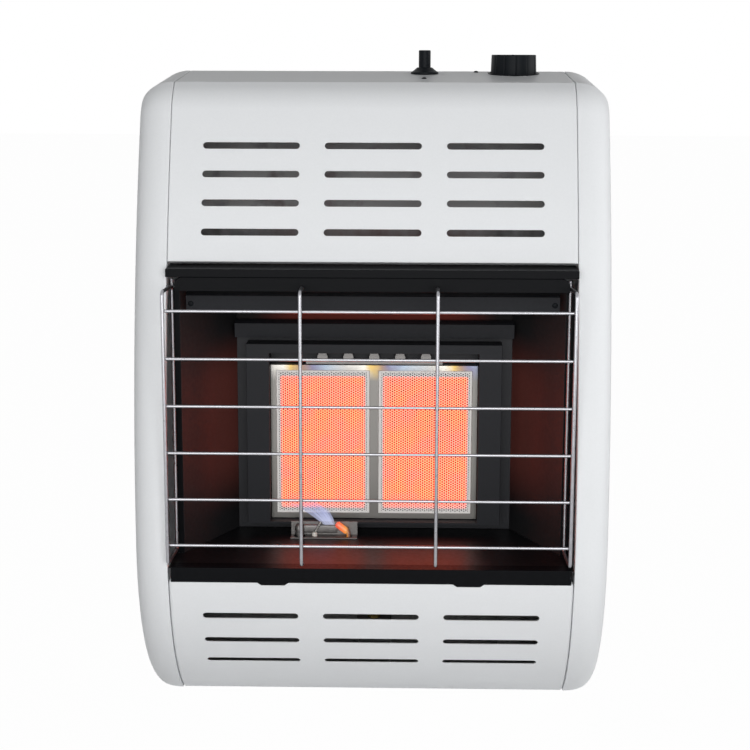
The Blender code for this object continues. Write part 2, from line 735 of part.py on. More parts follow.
def make_hood():
    """The black hood over the opening: a sloping sheet that ends in a short lip, and the plate under it."""
    half = SEAM_X - 0.001
    lip_foot = HOOD_LIP_TOP - HOOD_LIP_HEIGHT
    path = [
        (HOOD_LIP_DEPTH + HOOD_REACH, HOOD_LIP_TOP + HOOD_BACK_RISE),
        (HOOD_LIP_DEPTH, HOOD_LIP_TOP),
        (HOOD_LIP_DEPTH, lip_foot),
        (HOOD_LIP_DEPTH + 0.014, lip_foot),
    ]
    bent_sheet("hood_deflector", path, half, SHEET, "black_enamel", offset=1.0)

    bm = bmesh.new()
    outline = rounded_rectangle(
        2 * (half - 0.008), HOOD_PLATE_HEIGHT, HOOD_PLATE_CORNER, 4, (True, True, False, False)
    )
    stand = Matrix.Translation(
        (0, HOOD_LIP_DEPTH + HOOD_PLATE_SETBACK + SHEET, HOOD_PLATE_TOP - HOOD_PLATE_HEIGHT / 2)
    )
    polygon_prism(bm, outline, SHEET, stand @ Matrix.Rotation(math.pi / 2, 4, "X"))
    add_object("hood_plate", mesh_from(bm, "hood_plate"), "black_enamel", CABINET)


def make_ledge():
    """The black ledge under the opening, with two tabs that dip over the lower panel's lip."""
    half = SEAM_X - LEDGE_SIDE_GAP
    depth = SHEET / 2 + SEAT
    columns = [-half]
    for side in (-1, 1):
        centre = side * LEDGE_TAB_X
        columns += [centre - LEDGE_TAB_WIDTH / 2, centre + LEDGE_TAB_WIDTH / 2]
    columns.append(half)
    path = [
        (depth + LEDGE_REACH, LEDGE_TOP - SHEET / 2),
        (depth, LEDGE_TOP - SHEET / 2),
        (depth, LEDGE_FOOT + SHEET / 2),
    ]
    bm = bmesh.new()
    rows = grid_sheet(bm, [[(x, d, h) for x in columns] for d, h in path])
    foot = rows[-1]
    for left in (1, 3):
        edge = bm.edges.get((foot[left], foot[left + 1]))
        grown = bmesh.ops.extrude_edge_only(bm, edges=[edge])["geom"]
        new = [vert for vert in grown if isinstance(vert, bmesh.types.BMVert)]
        middle = (foot[left].co.x + foot[left + 1].co.x) / 2
        for vert in new:
            vert.co.z -= LEDGE_TAB_DROP
            vert.co.x = middle + (vert.co.x - middle) * 0.75
    ledge = add_object("front_ledge", mesh_from(bm, "front_ledge"), "black_enamel", CABINET)
    solidify(ledge, SHEET, 0.0)


def wall_half_width(depth):
    """Half the firebox's width between its slanting side reflectors."""
    start = MOUTH_DEPTH + FIREBOX_SHEET / 2
    share = (depth - start) / (BACK_DEPTH - SEAT - FIREBOX_SHEET / 2 - start)
    return MOUTH_HALF_WIDTH + (BACK_HALF_WIDTH - MOUTH_HALF_WIDTH) * share


def ceiling_height(depth):
    """The top edge of the side reflectors, falling from the hood to the rear louvre."""
    share = (depth - MOUTH_DEPTH) / (BACK_DEPTH - MOUTH_DEPTH)
    return FRONT_LOUVRE_TOP + 0.008 + (REAR_LOUVRE_TOP - FRONT_LOUVRE_TOP) * share


def side_reflector(name, side):
    """A vertical sheet with a front flange, a slanting wall and a back flange."""
    plan = [
        (SEAM_X - 0.0010, MOUTH_DEPTH + FIREBOX_SHEET / 2),
        (MOUTH_HALF_WIDTH, MOUTH_DEPTH + FIREBOX_SHEET / 2),
        (BACK_HALF_WIDTH, BACK_DEPTH - FIREBOX_SHEET / 2 - SEAT),
        (BACK_HALF_WIDTH + 0.010, BACK_DEPTH - FIREBOX_SHEET / 2 - SEAT),
    ]
    rows = []
    for x, depth in plan:
        high = ceiling_height(depth)
        rows.append([(side * x, depth, FLOOR_HEIGHT + SHEET / 2 + SEAT), (side * x, depth, high)])
    bm = bmesh.new()
    grid_sheet(bm, rows)
    piece = add_object(name, mesh_from(bm, name), "black_enamel", CABINET)
    solidify(piece, FIREBOX_SHEET, 0.0)


def make_firebox():
    side_reflector("firebox_left_reflector", -1)
    side_reflector("firebox_right_reflector", 1)

    front = 0.006
    bm = bmesh.new()
    outline = [
        (-PANEL_HALF_WIDTH, front),
        (PANEL_HALF_WIDTH, front),
        (PANEL_HALF_WIDTH, MOUTH_DEPTH + 0.004),
        (BACK_HALF_WIDTH + 0.014, BACK_DEPTH + 0.004),
        (-BACK_HALF_WIDTH - 0.014, BACK_DEPTH + 0.004),
        (-PANEL_HALF_WIDTH, MOUTH_DEPTH + 0.004),
    ]
    polygon_prism(bm, outline, SHEET, Matrix.Translation((0, 0, FLOOR_HEIGHT - SHEET / 2)))
    floor = add_object("firebox_floor", mesh_from(bm, "firebox_floor"), "black_enamel", CABINET)
    bm = bmesh.new()
    for x, radius in PILOT_FLOOR_HOLES:
        cylinder_mesh(bm, radius, -0.01, 0.01, 14, Matrix.Translation((x, PILOT_DEPTH, FLOOR_HEIGHT)))
    subtract(floor, add_cutter("pilot_floor_holes", bm, CABINET))

    bm = bmesh.new()
    box_mesh(
        bm,
        (-BACK_HALF_WIDTH - 0.012, BACK_DEPTH, FLOOR_HEIGHT + SHEET / 2 + SEAT),
        (BACK_HALF_WIDTH + 0.012, BACK_DEPTH + FIREBOX_SHEET, REAR_LOUVRE_TOP),
    )
    wall = add_object("firebox_rear_wall", mesh_from(bm, "firebox_rear_wall"), "black_enamel", CABINET)
    bm = bmesh.new()
    half = BURNER_WIDTH / 2 + 0.0006
    box_mesh(
        bm,
        (-half, BACK_DEPTH - 0.01, BURNER_FOOT - 0.0006),
        (half, BACK_DEPTH + 0.01, BURNER_FOOT + BURNER_HEIGHT + 0.0006),
    )
    subtract(wall, add_cutter("burner_opening", bm, CABINET))

    for name, depth, top, height in (
        ("firebox_front_louvre", MOUTH_DEPTH + 0.002, FRONT_LOUVRE_TOP, FRONT_LOUVRE_HEIGHT),
        ("firebox_rear_louvre", BURNER_DEPTH, REAR_LOUVRE_TOP, REAR_LOUVRE_HEIGHT),
    ):
        rear_edge = depth + LOUVRE_REACH + FIREBOX_SHEET / 2
        half = wall_half_width(rear_edge) - 0.6 * FIREBOX_SHEET - SEAT
        path = [
            (depth + LOUVRE_REACH, top + LOUVRE_RISE),
            (depth, top),
            (depth + LOUVRE_LEAN, top - height),
        ]
        bent_sheet(name, path, half, FIREBOX_SHEET, "black_enamel")

    # The baffle keeps the hot duct behind the upper panel away from the valve and the igniter.
    wall = BACK_DEPTH + FIREBOX_SHEET + SEAT + SHEET / 2
    head_depth = CONTROL_DEPTH - BAFFLE_AHEAD
    lip_depth = head_depth - BAFFLE_LIP
    under = 1.6 * SHEET + SEAT
    path = [
        (wall, REAR_LOUVRE_TOP - BAFFLE_LAP),
        (wall, REAR_LOUVRE_TOP + BAFFLE_LIP),
        (head_depth, top_height(head_depth) - under),
        (lip_depth, top_height(lip_depth) - under),
    ]
    bent_sheet("heat_baffle", path, PANEL_HALF_WIDTH - SHEET - BAFFLE_SIDE_GAP, SHEET, "galvanised")


def ring_rows(bm, outer, inner, depth):
    """A flat rectangular ring facing forward; returns its outer and inner corner verts."""
    loops = []
    for half, low, high in (outer, inner):
        corners = ((-half, low), (half, low), (half, high), (-half, high))
        loops.append([bm.verts.new((x, depth, z)) for x, z in corners])
    for index in range(4):
        after = (index + 1) % 4
        bm.faces.new((loops[0][index], loops[0][after], loops[1][after], loops[1][index]))
    return loops


def extrude_loop_back(bm, loop, distance):
    """Grows a sheet backwards from a closed loop of verts."""
    behind = [bm.verts.new(vert.co + Vector((0, distance, 0))) for vert in loop]
    for index in range(len(loop)):
        after = (index + 1) % len(loop)
        bm.faces.new((loop[index], loop[after], behind[after], behind[index]))


def make_burner():
    half = BURNER_WIDTH / 2
    low = BURNER_FOOT
    high = BURNER_FOOT + BURNER_HEIGHT

    # The burner's frame: a folded tray with a window for each plaque.
    bm = bmesh.new()
    box_mesh(bm, (-half, BURNER_DEPTH, low), (half, BURNER_DEPTH + FRAME_RETURN, high))
    rear_face = [f for f in bm.faces if f.calc_center_median().y > BURNER_DEPTH + FRAME_RETURN * 0.9]
    bmesh.ops.delete(bm, geom=rear_face, context="FACES_ONLY")
    frame = add_object("burner_frame", mesh_from(bm, "burner_frame"), "stainless", CABINET)
    solidify(frame, FIREBOX_SHEET)
    bm = bmesh.new()
    for side in (-1, 1):
        inner_x = side * FRAME_DIVIDER / 2
        outer_x = side * (half - FRAME_BORDER)
        box_mesh(
            bm,
            (min(inner_x, outer_x), BURNER_DEPTH - 0.005, low + FRAME_BORDER),
            (max(inner_x, outer_x), BURNER_DEPTH + 0.006, high - FRAME_BORDER),
        )
    subtract(frame, add_cutter("plaque_windows", bm, CABINET))

    front = BURNER_DEPTH + FIREBOX_SHEET + SEAT
    for name, side in (("ceramic_plaque_left", -1), ("ceramic_plaque_right", 1)):
        inner_x = side * PLAQUE_JOINT / 2
        outer_x = side * (half - FIREBOX_SHEET - SEAT)
        bm = bmesh.new()
        box_mesh(
            bm,
            (min(inner_x, outer_x), front, low + FIREBOX_SHEET + SEAT),
            (max(inner_x, outer_x), front + PLAQUE_THICKNESS, high - FIREBOX_SHEET - SEAT),
        )
        add_object(name, mesh_from(bm, name), "plaque", CABINET)

    # The clamp strip stands on the frame's top edge, with a row of half-round tabs.
    outline = [(-CLAMP_STRIP_LENGTH / 2, 0.0)]
    bottom_right = (CLAMP_STRIP_LENGTH / 2, 0.0)
    outline += [bottom_right, (CLAMP_STRIP_LENGTH / 2, CLAMP_STRIP_HEIGHT)]
    for tab in reversed(range(CLAMP_TABS)):
        centre = (tab - (CLAMP_TABS - 1) / 2) * CLAMP_TAB_PITCH
        rise = CLAMP_TAB_HEIGHT - CLAMP_TAB_WIDTH / 2
        outline.append((centre + CLAMP_TAB_WIDTH / 2, CLAMP_STRIP_HEIGHT))
        for step in range(5):
            angle = math.pi * step / 4
            x = centre + CLAMP_TAB_WIDTH / 2 * math.cos(angle)
            outline.append((x, CLAMP_STRIP_HEIGHT + rise + CLAMP_TAB_WIDTH / 2 * math.sin(angle)))
        outline.append((centre - CLAMP_TAB_WIDTH / 2, CLAMP_STRIP_HEIGHT))
    outline.append((-CLAMP_STRIP_LENGTH / 2, CLAMP_STRIP_HEIGHT))
    bm = bmesh.new()
    stand = Matrix.Translation((0, BURNER_DEPTH + 0.004, high + SEAT)) @ Matrix.Rotation(math.pi / 2, 4, "X")
    polygon_prism(bm, outline, 0.0012, stand)
    add_object("plaque_clamp_strip", mesh_from(bm, "plaque_clamp_strip"), "stainless", CABINET)

    # The surround is a dark box frame standing off the rear wall round the burner.
    bm = bmesh.new()
    gap = CLAMP_STRIP_HEIGHT + CLAMP_TAB_HEIGHT + 0.001
    outer = (SURROUND_WIDTH / 2, BURNER_FOOT - 0.0025, SURROUND_TOP)
    inner = (half + SEAT + FIREBOX_SHEET / 2, BURNER_FOOT - 0.0010, high + gap)
    depth = BURNER_DEPTH - SURROUND_PROUD
    loops = ring_rows(bm, outer, inner, depth)
    extrude_loop_back(bm, loops[0], BACK_DEPTH - depth - SEAT)
    extrude_loop_back(bm, loops[1], BACK_DEPTH - depth - SEAT)
    surround = add_object("burner_surround", mesh_from(bm, "burner_surround"), "black_paint", CABINET)
    solidify(surround, FIREBOX_SHEET, 0.0)

    # The plenum is a drawn pan behind the plaques, open towards them.
    bm = bmesh.new()
    inset = FIREBOX_SHEET + SEAT
    box_mesh(
        bm,
        (-half + inset, PLENUM_FRONT, low + inset),
        (half - inset, PLENUM_FRONT + PLENUM_DEPTH, high - inset),
    )
    mouth = [f for f in bm.faces if f.calc_center_median().y < PLENUM_FRONT + 0.001]
    bmesh.ops.delete(bm, geom=mouth, context="FACES_ONLY")
    back_edges = [
        edge for edge in bm.edges if all(vert.co.y > PLENUM_FRONT + 0.001 for vert in edge.verts)
    ]
    bmesh.ops.bevel(bm, geom=back_edges, offset=0.010, segments=3, profile=0.5, affect="EDGES")
    plenum = add_object("burner_plenum", mesh_from(bm, "burner_plenum"), "aluminised", CABINET)
    solidify(plenum, FIREBOX_SHEET)
    bm = bmesh.new()
    cylinder_mesh(bm, VENTURI_RADIUS - 0.001, -0.01, 0.01, 20, Matrix.Translation((0, VENTURI_DEPTH, low)))
    subtract(plenum, add_cutter("plenum_inlet", bm, CABINET))


def make_gas_train():
    top = BURNER_FOOT + FIREBOX_SHEET
    wall = 0.001
    length = VENTURI_LENGTH
    outer = [
        (VENTURI_RADIUS, top),
        (VENTURI_RADIUS, top - length * 0.35),
        (VENTURI_THROAT + wall, top - length * 0.62),
        (VENTURI_THROAT + wall, top - length * 0.75),
        (VENTURI_MOUTH, top - length),
    ]
    inner = [(radius - wall, height) for radius, height in reversed(outer)]
    turned("venturi_tube", outer + inner, 20, "aluminised", CABINET, (0, VENTURI_DEPTH, 0))
    mouth = top - length

    tip = mouth + 0.008
    base = mouth - 0.022
    profile = [
        (0.0, tip),
        (0.0035, tip),
        (0.0045, tip - 0.010),
        (ORIFICE_RADIUS, tip - 0.012),
        (ORIFICE_RADIUS, base + 0.004),
        (0.0070, base + 0.004),
        (0.0070, base),
        (0.0, base),
    ]
    turned("orifice_holder", profile, 6, "brass", CABINET, (0, VENTURI_DEPTH, 0))

    # The holder's bracket is a bridge folded from strip, standing on the base pan.
    strip = 1.25 * SHEET
    deck = base - SEAT - strip / 2
    foot = SHEET + SEAT + strip / 2
    bm = bmesh.new()
    span = [(-BRIDGE_HALF_LENGTH, foot), (-BRIDGE_HALF_SPAN, foot), (-BRIDGE_HALF_SPAN, deck)]
    span += [(-x, z) for x, z in reversed(span)]
    near = VENTURI_DEPTH - BRIDGE_HALF_WIDTH
    far = VENTURI_DEPTH + BRIDGE_HALF_WIDTH
    rows = [[(x, near, z), (x, far, z)] for x, z in span]
    grid_sheet(bm, rows)
    bracket = add_object("orifice_bracket", mesh_from(bm, "orifice_bracket"), "galvanised", CABINET)
    solidify(bracket, strip, 0.0)

    # Regulator: a round two-flange can on its inlet stub, behind the lower panel on the right.
    can = [
        (0.0, REGULATOR_BONNET),
        (REGULATOR_NECK, REGULATOR_BONNET),
        (REGULATOR_NECK, REGULATOR_CAP),
        (REGULATOR_WAIST, REGULATOR_SHOULDER),
        (REGULATOR_WAIST, REGULATOR_RIM * 1.3),
        (REGULATOR_RADIUS, REGULATOR_RIM),
        (REGULATOR_RADIUS, -REGULATOR_RIM),
        (REGULATOR_WAIST, -REGULATOR_RIM * 1.3),
        (REGULATOR_WAIST * 0.85, -REGULATOR_BODY),
        (0.0, -REGULATOR_BODY),
    ]
    back = (REGULATOR_X, REGULATOR_DEPTH, REGULATOR_HEIGHT)
    turned("gas_regulator", can, 24, "die_cast", CABINET, back, (math.pi / 2, 0, 0))
    start = REGULATOR_DEPTH + REGULATOR_BODY + SEAT
    fitting = [
        (INLET_RADIUS, BODY_DEPTH - start),
        (INLET_RADIUS, INLET_NUT_LENGTH),
        (INLET_NUT_RADIUS, INLET_NUT_LENGTH),
        (INLET_NUT_RADIUS, 0.0),
        (INLET_BORE, 0.0),
        (INLET_BORE, BODY_DEPTH - start),
    ]
    place = (REGULATOR_X, start, REGULATOR_HEIGHT)
    turned("gas_inlet_fitting", fitting, 24, "brass", CABINET, place, (-math.pi / 2, 0, 0))
    bm = bmesh.new()
    foot = SHEET + SEAT
    low = REGULATOR_HEIGHT - REGULATOR_RADIUS - SEAT
    box_mesh(
        bm,
        (REGULATOR_X - STAND_HALF_WIDTH, REGULATOR_DEPTH - STAND_THICKNESS / 2, foot),
        (REGULATOR_X + STAND_HALF_WIDTH, REGULATOR_DEPTH + STAND_THICKNESS / 2, low),
    )
    add_object("regulator_stand", mesh_from(bm, "regulator_stand"), "galvanised", CABINET)


def make_pilot():
    """The pilot on the firebox floor: plate, burner head, electrode and thermocouple."""
    floor = FLOOR_HEIGHT + SHEET / 2 + SEAT
    bm = bmesh.new()
    half = PILOT_PLATE_WIDTH / 2
    section = [
        (PILOT_DEPTH - PILOT_PLATE_FRONT, floor + 0.0005),
        (PILOT_DEPTH + PILOT_PLATE_BACK, floor + 0.0005),
        (PILOT_DEPTH + PILOT_PLATE_BACK, floor + PILOT_PLATE_HEIGHT),
    ]
    grid_sheet(bm, [[(PILOT_X - half, d, h), (PILOT_X + half, d, h)] for d, h in section])
    plate = add_object("pilot_bracket", mesh_from(bm, "pilot_bracket"), "stainless", CABINET)
    solidify(plate, 0.001, 0.0)
    bm = bmesh.new()
    for x, radius in PILOT_FLOOR_HOLES:
        cylinder_mesh(bm, radius, -0.004, 0.004, 14, Matrix.Translation((x, PILOT_DEPTH, floor)))
    subtract(plate, add_cutter("pilot_plate_holes", bm, CABINET))

    head_x = PILOT_FLOOR_HOLES[0][0]
    head = [
        (0.0, 0.0135),
        (0.0030, 0.0135),
        (0.0048, 0.0105),
        (0.0048, 0.0020),
        (0.0034, 0.0020),
        (0.0034, -PILOT_STUB),
        (0.0, -PILOT_STUB),
    ]
    turned("pilot_burner", head, 12, "stainless", CABINET, (head_x, PILOT_DEPTH, floor))

    electrode_x = PILOT_FLOOR_HOLES[1][0]
    rod = [(electrode_x, PILOT_DEPTH, floor - PILOT_STUB), (electrode_x, PILOT_DEPTH, floor + 0.004)]
    rod.append((electrode_x + 0.007, PILOT_DEPTH, floor + 0.0165))
    tube("igniter_electrode", rounded_path(rod, 0.002, 2), 0.0011, "stainless", CABINET)

    couple_x = PILOT_FLOOR_HOLES[2][0]
    rod = [(couple_x, PILOT_DEPTH, floor - PILOT_STUB), (couple_x, PILOT_DEPTH, floor + 0.0045)]
    rod.append((couple_x - 0.013, PILOT_DEPTH, floor + 0.0145))
    tube("thermocouple", rounded_path(rod, 0.003, 2), 0.0021, "stainless", CABINET)


def port_below(x, back, drop):
    """A pipe's top end, just under the level foot of a piece that hangs from the top."""
    return (x, CONTROL_DEPTH + back, CONTROL_HEIGHT - drop - SEAT)


def pipe(name, points, bend, steps, radius, surface):
    tube(name, rounded_path(points, bend, steps), radius, surface, CABINET)


def make_pipes():
    """Pipes and leads: each a path of straight runs with bends of one radius."""
    below = FLOOR_HEIGHT + SHEET / 2 + SEAT - PILOT_STUB - SEAT
    valve_foot = VALVE_DROP + VALVE_HEIGHT
    head_x, electrode_x, couple_x = [x for x, _ in PILOT_FLOOR_HOLES]

    x, depth, top = port_below(KNOB_X + BURNER_PORT_X, 0.0, valve_foot)
    orifice = BURNER_FOOT + FIREBOX_SHEET - VENTURI_LENGTH - ORIFICE_DROP
    points = [
        (x, depth, top),
        (x, depth, top - BURNER_TUBE_FALL),
        (PIPE_X, depth, top - BURNER_TUBE_FALL - PIPE_JOG),
        (PIPE_X, depth, orifice),
        (PIPE_X, VENTURI_DEPTH, orifice),
        (ORIFICE_RADIUS + SEAT, VENTURI_DEPTH, orifice),
    ]
    pipe("burner_tube", points, PIPE_BEND, 3, BURNER_TUBE_RADIUS, "aluminised")

    x, depth, top = port_below(KNOB_X + PILOT_PORT_X, PILOT_PORT_BACK, valve_foot)
    far = PIPE_X + PIPE_PITCH
    run = FLOOR_HEIGHT - PILOT_RUN_DROP
    points = [
        (x, depth, top),
        (x, depth, top - PILOT_TUBE_FALL),
        (far, depth, top - PILOT_TUBE_FALL - PIPE_JOG),
        (far, depth, run),
        (far, PILOT_DEPTH, run),
        (head_x, PILOT_DEPTH, run),
        (head_x, PILOT_DEPTH, below),
    ]
    pipe("pilot_tube", points, TUBE_BEND, 3, PILOT_TUBE_RADIUS, "aluminised")

    x, depth, top = port_below(KNOB_X + LEAD_PORT_X, LEAD_PORT_BACK, valve_foot)
    far = PIPE_X + LEAD_PITCH
    run = FLOOR_HEIGHT - LEAD_RUN_DROP
    points = [
        (x, depth, top),
        (x, depth, top - LEAD_FALL),
        (far, depth, top - LEAD_FALL - PIPE_JOG),
        (far, depth, run),
        (far, PILOT_DEPTH + 2 * LEAD_BEND, run),
        (couple_x, PILOT_DEPTH + 2 * LEAD_BEND, run),
        (couple_x, PILOT_DEPTH, run + 3 * LEAD_BEND),
        (couple_x, PILOT_DEPTH, below),
    ]
    pipe("thermocouple_lead", points, LEAD_BEND, 2, LEAD_RADIUS, "copper")

    x, depth, top = port_below(IGNITER_X, 0.0, IGNITER_BODY_FOOT)
    side = IGNITER_X + WIRE_ASIDE
    behind = depth + 2 * WIRE_RADIUS
    ahead = PILOT_DEPTH - 3.5 * WIRE_RADIUS
    run = FLOOR_HEIGHT - WIRE_RUN_DROP
    points = [
        (x, depth, top),
        (x, behind, top - IGNITER_BODY_LENGTH),
        (side, behind, top - WIRE_FALL),
        (side, behind, run),
        (side, ahead, run),
        (electrode_x, ahead, run),
        (electrode_x, PILOT_DEPTH, run + TUBE_BEND),
        (electrode_x, PILOT_DEPTH, below),
    ]
    pipe("igniter_wire", points, TUBE_BEND, 3, WIRE_RADIUS, "wire_sleeve")

    x, depth, top = port_below(KNOB_X + INLET_PORT_X, 0.0, valve_foot)
    low = top - INLET_TUBE_FALL
    points = [
        (x, depth, top),
        (x, depth, low),
        (REGULATOR_X, depth, low - INLET_JOG),
        (REGULATOR_X, REGULATOR_DEPTH, low - INLET_JOG - PIPE_JOG),
        (REGULATOR_X, REGULATOR_DEPTH, REGULATOR_HEIGHT + REGULATOR_RADIUS + SEAT),
    ]
    pipe("inlet_tube", points, PIPE_BEND, 3, INLET_TUBE_RADIUS, "aluminised")


def trim_to_top(piece, low, high, parent):
    """Cuts an upright piece along the sloping top, between two distances from its surface."""
    bm = bmesh.new()
    box_mesh(bm, (-TRIM_REACH, -TRIM_REACH, low), (TRIM_REACH, TRIM_REACH, high))
    subtract(piece, add_cutter(piece.name + "_trim", bm, parent, (0, 0, 0), (TOP_SLOPE, 0, 0)))


def make_valve_and_knob():
    """The gas valve hangs under the top; its stem carries the knob, which dips through the bezel."""
    under = -SHEET - SEAT
    bm = bmesh.new()
    box_mesh(
        bm,
        (-VALVE_HALF_WIDTH, -VALVE_FRONT, -VALVE_DROP - VALVE_HEIGHT),
        (VALVE_HALF_WIDTH, VALVE_BACK, -VALVE_DROP),
    )
    edges = [edge for edge in bm.edges if abs(edge.verts[0].co.z - edge.verts[1].co.z) > 0.001]
    bmesh.ops.bevel(bm, geom=edges, offset=0.004, segments=2, profile=0.5, affect="EDGES")
    valve = add_object("gas_valve", mesh_from(bm, "gas_valve", 30), "die_cast", KNOB_AXIS)
    bm = bmesh.new()
    cylinder_mesh(bm, STEM_RADIUS + RUNNING_GAP, -VALVE_DROP - 0.016, 0.0, 20)
    subtract(valve, add_cutter("stem_bore", bm, KNOB_AXIS))
    bm = bmesh.new()
    cylinder_mesh(bm, DRIVE_COLLAR_RADIUS + RUNNING_GAP, -VALVE_DROP - 0.006, 0.0, 24)
    subtract(valve, add_cutter("collar_seat", bm, KNOB_AXIS))

    # An H-shaped bracket carries the valve from the underside of the top, clear of the knob's hole.
    inner = VALVE_HALF_WIDTH + SEAT
    outer = inner + SHEET
    low = -VALVE_DROP - VALVE_HEIGHT / 2
    deck = -BRACKET_DECK_DROP
    upper_half = [(inner, deck), (inner, under), (outer, under)]
    lower_half = [(outer, low), (inner, low), (inner, deck - SHEET)]
    outline = upper_half + lower_half + [(-x, z) for x, z in reversed(upper_half + lower_half)]
    bm = bmesh.new()
    stand = Matrix.Translation((0, BRACKET_WIDTH / 2, 0)) @ Matrix.Rotation(math.pi / 2, 4, "X")
    polygon_prism(bm, outline, BRACKET_WIDTH, stand)
    for vert in bm.verts:
        if vert.co.z > under - SEAT:
            vert.co.z += vert.co.y * math.tan(TOP_SLOPE)
    bracket = add_object("valve_bracket", mesh_from(bm, "valve_bracket"), "galvanised", KNOB_AXIS)
    bm = bmesh.new()
    cylinder_mesh(bm, DRIVE_COLLAR_RADIUS, deck - 0.004, deck + 0.004, 20)
    subtract(bracket, add_cutter("bracket_hole", bm, KNOB_AXIS))

    collar = [
        (DRIVE_COLLAR_RADIUS, -VALVE_DROP + 0.0030),
        (DRIVE_COLLAR_RADIUS, -VALVE_DROP - 0.0060 + SEAT),
        (STEM_RADIUS + 0.0003, -VALVE_DROP - 0.0060 + SEAT),
        (STEM_RADIUS + 0.0003, -VALVE_DROP + 0.0030),
    ]
    turned("valve_drive_collar", collar, 24, "brass", KNOB_AXIS)

    stem_top = KNOB_HEIGHT / 2
    stem = [
        (0.0, stem_top),
        (STEM_RADIUS, stem_top),
        (STEM_RADIUS, -VALVE_DROP - 0.0115),
        (0.0, -VALVE_DROP - 0.0115),
    ]
    turned("valve_stem", stem, 20, "stainless", KNOB_AXIS)

    # The knob is a moulded cup with a hub over the stem and narrow flutes down its side.
    hub = STEM_RADIUS + SEAT
    knob = [
        (0.0, KNOB_HEIGHT),
        (KNOB_TOP_RADIUS - 0.0010, KNOB_HEIGHT),
        (KNOB_TOP_RADIUS, KNOB_HEIGHT - 0.0010),
        (KNOB_RADIUS, KNOB_FLOOR),
        (KNOB_RADIUS - KNOB_WALL, KNOB_FLOOR),
        (KNOB_TOP_RADIUS - KNOB_WALL, KNOB_HEIGHT - 0.0030),
        (hub + 0.0035, KNOB_HEIGHT - 0.0030),
        (hub + 0.0030, KNOB_FLOOR),
        (hub, KNOB_FLOOR),
        (hub, stem_top + SEAT),
        (0.0, stem_top + SEAT),
    ]
    piece = turned("control_knob", knob, 48, "black_plastic", KNOB_AXIS)
    bm = bmesh.new()
    for flute in range(KNOB_FLUTES):
        angle = 2 * math.pi * (flute + 0.5) / KNOB_FLUTES + math.radians(KNOB_FLUTE_START)
        spin = Matrix.Rotation(angle, 4, "Z")
        middle = Matrix.Translation((KNOB_RADIUS, 0, KNOB_HEIGHT / 2))
        size = Matrix.Diagonal((2 * KNOB_FLUTE_DEPTH, KNOB_FLUTE_WIDTH, KNOB_HEIGHT * 1.2, 1.0))
        bmesh.ops.create_cube(bm, size=1.0, matrix=spin @ middle @ size)
    subtract(piece, add_cutter("knob_flutes", bm, KNOB_AXIS))

    # The bezel is an upright ring cut along the slope, below and above, round the knob's skirt.
    inner = KNOB_RADIUS + RUNNING_GAP
    rise = 2 * BEZEL_RADIUS * math.tan(TOP_SLOPE)
    bezel = [(inner, rise), (BEZEL_RADIUS, rise), (BEZEL_RADIUS, -rise), (inner, -rise)]
    piece = turned("control_bezel", bezel, 40, "black_plastic", KNOB_AXIS)
    trim_to_top(piece, -TRIM_REACH, SEAT, KNOB_AXIS)
    trim_to_top(piece, SEAT + BEZEL_HEIGHT, TRIM_REACH, KNOB_AXIS)


def make_igniter():
    """The push igniter: a sealed body under the top, a flared collar on it and a long button."""
    under = -SHEET - SEAT
    bore = BUTTON_RADIUS + RUNNING_GAP
    rise = COLLAR_RADIUS * math.tan(TOP_SLOPE)
    collar = [
        (bore + 0.0010, COLLAR_HEIGHT),
        (bore + 0.0022, COLLAR_HEIGHT * 0.70),
        (COLLAR_RADIUS - 0.0015, rise + 3 * SEAT),
        (COLLAR_RADIUS, rise + 2 * SEAT),
        (COLLAR_RADIUS, -2 * rise),
        (bore, -2 * rise),
        (bore, COLLAR_HEIGHT),
    ]
    piece = turned("igniter_collar", collar, 28, "black_plastic", IGNITER_AXIS)
    trim_to_top(piece, -TRIM_REACH, SEAT, IGNITER_AXIS)

    head = under - 0.0005
    flange = IGNITER_BODY_RADIUS + 0.0025
    body = [
        (flange, head + 2 * rise),
        (flange, head - 0.004),
        (IGNITER_BODY_RADIUS, head - 0.004),
        (IGNITER_BODY_RADIUS, head - IGNITER_BODY_LENGTH),
        (0.0022, head - IGNITER_BODY_LENGTH),
        (0.0022, head - IGNITER_BODY_LENGTH + 0.004),
        (bore, head - IGNITER_BODY_LENGTH + 0.008),
        (bore, head + 2 * rise),
    ]
    piece = turned("igniter_body", body, 24, "black_plastic", IGNITER_AXIS)
    trim_to_top(piece, under, TRIM_REACH, IGNITER_AXIS)

    foot = -0.020
    button = [
        (0.0, BUTTON_HEIGHT),
        (BUTTON_RADIUS - 0.0008, BUTTON_HEIGHT),
        (BUTTON_RADIUS, BUTTON_HEIGHT - 0.0008),
        (BUTTON_RADIUS, foot),
        (0.0, foot),
    ]
    turned("igniter_button", button, 24, "black_plastic", IGNITER_AXIS)


def guard_side_loop(x):
    """One closed side frame of the guard: front rod, top link, rear rod and bottom link."""
    corners = [
        (x, -GUARD_PROUD, GUARD_FOOT),
        (x, -GUARD_PROUD, GUARD_TOP),
        (x, GUARD_REAR_DEPTH, GUARD_REAR_TOP),
        (x, GUARD_REAR_DEPTH, GUARD_REAR_FOOT),
    ]
    loop = []
    for index, corner in enumerate(corners):
        before = corners[index - 1]
        after = corners[(index + 1) % len(corners)]
        loop += round_corner(before, corner, after, GUARD_BEND, 3)
    return loop


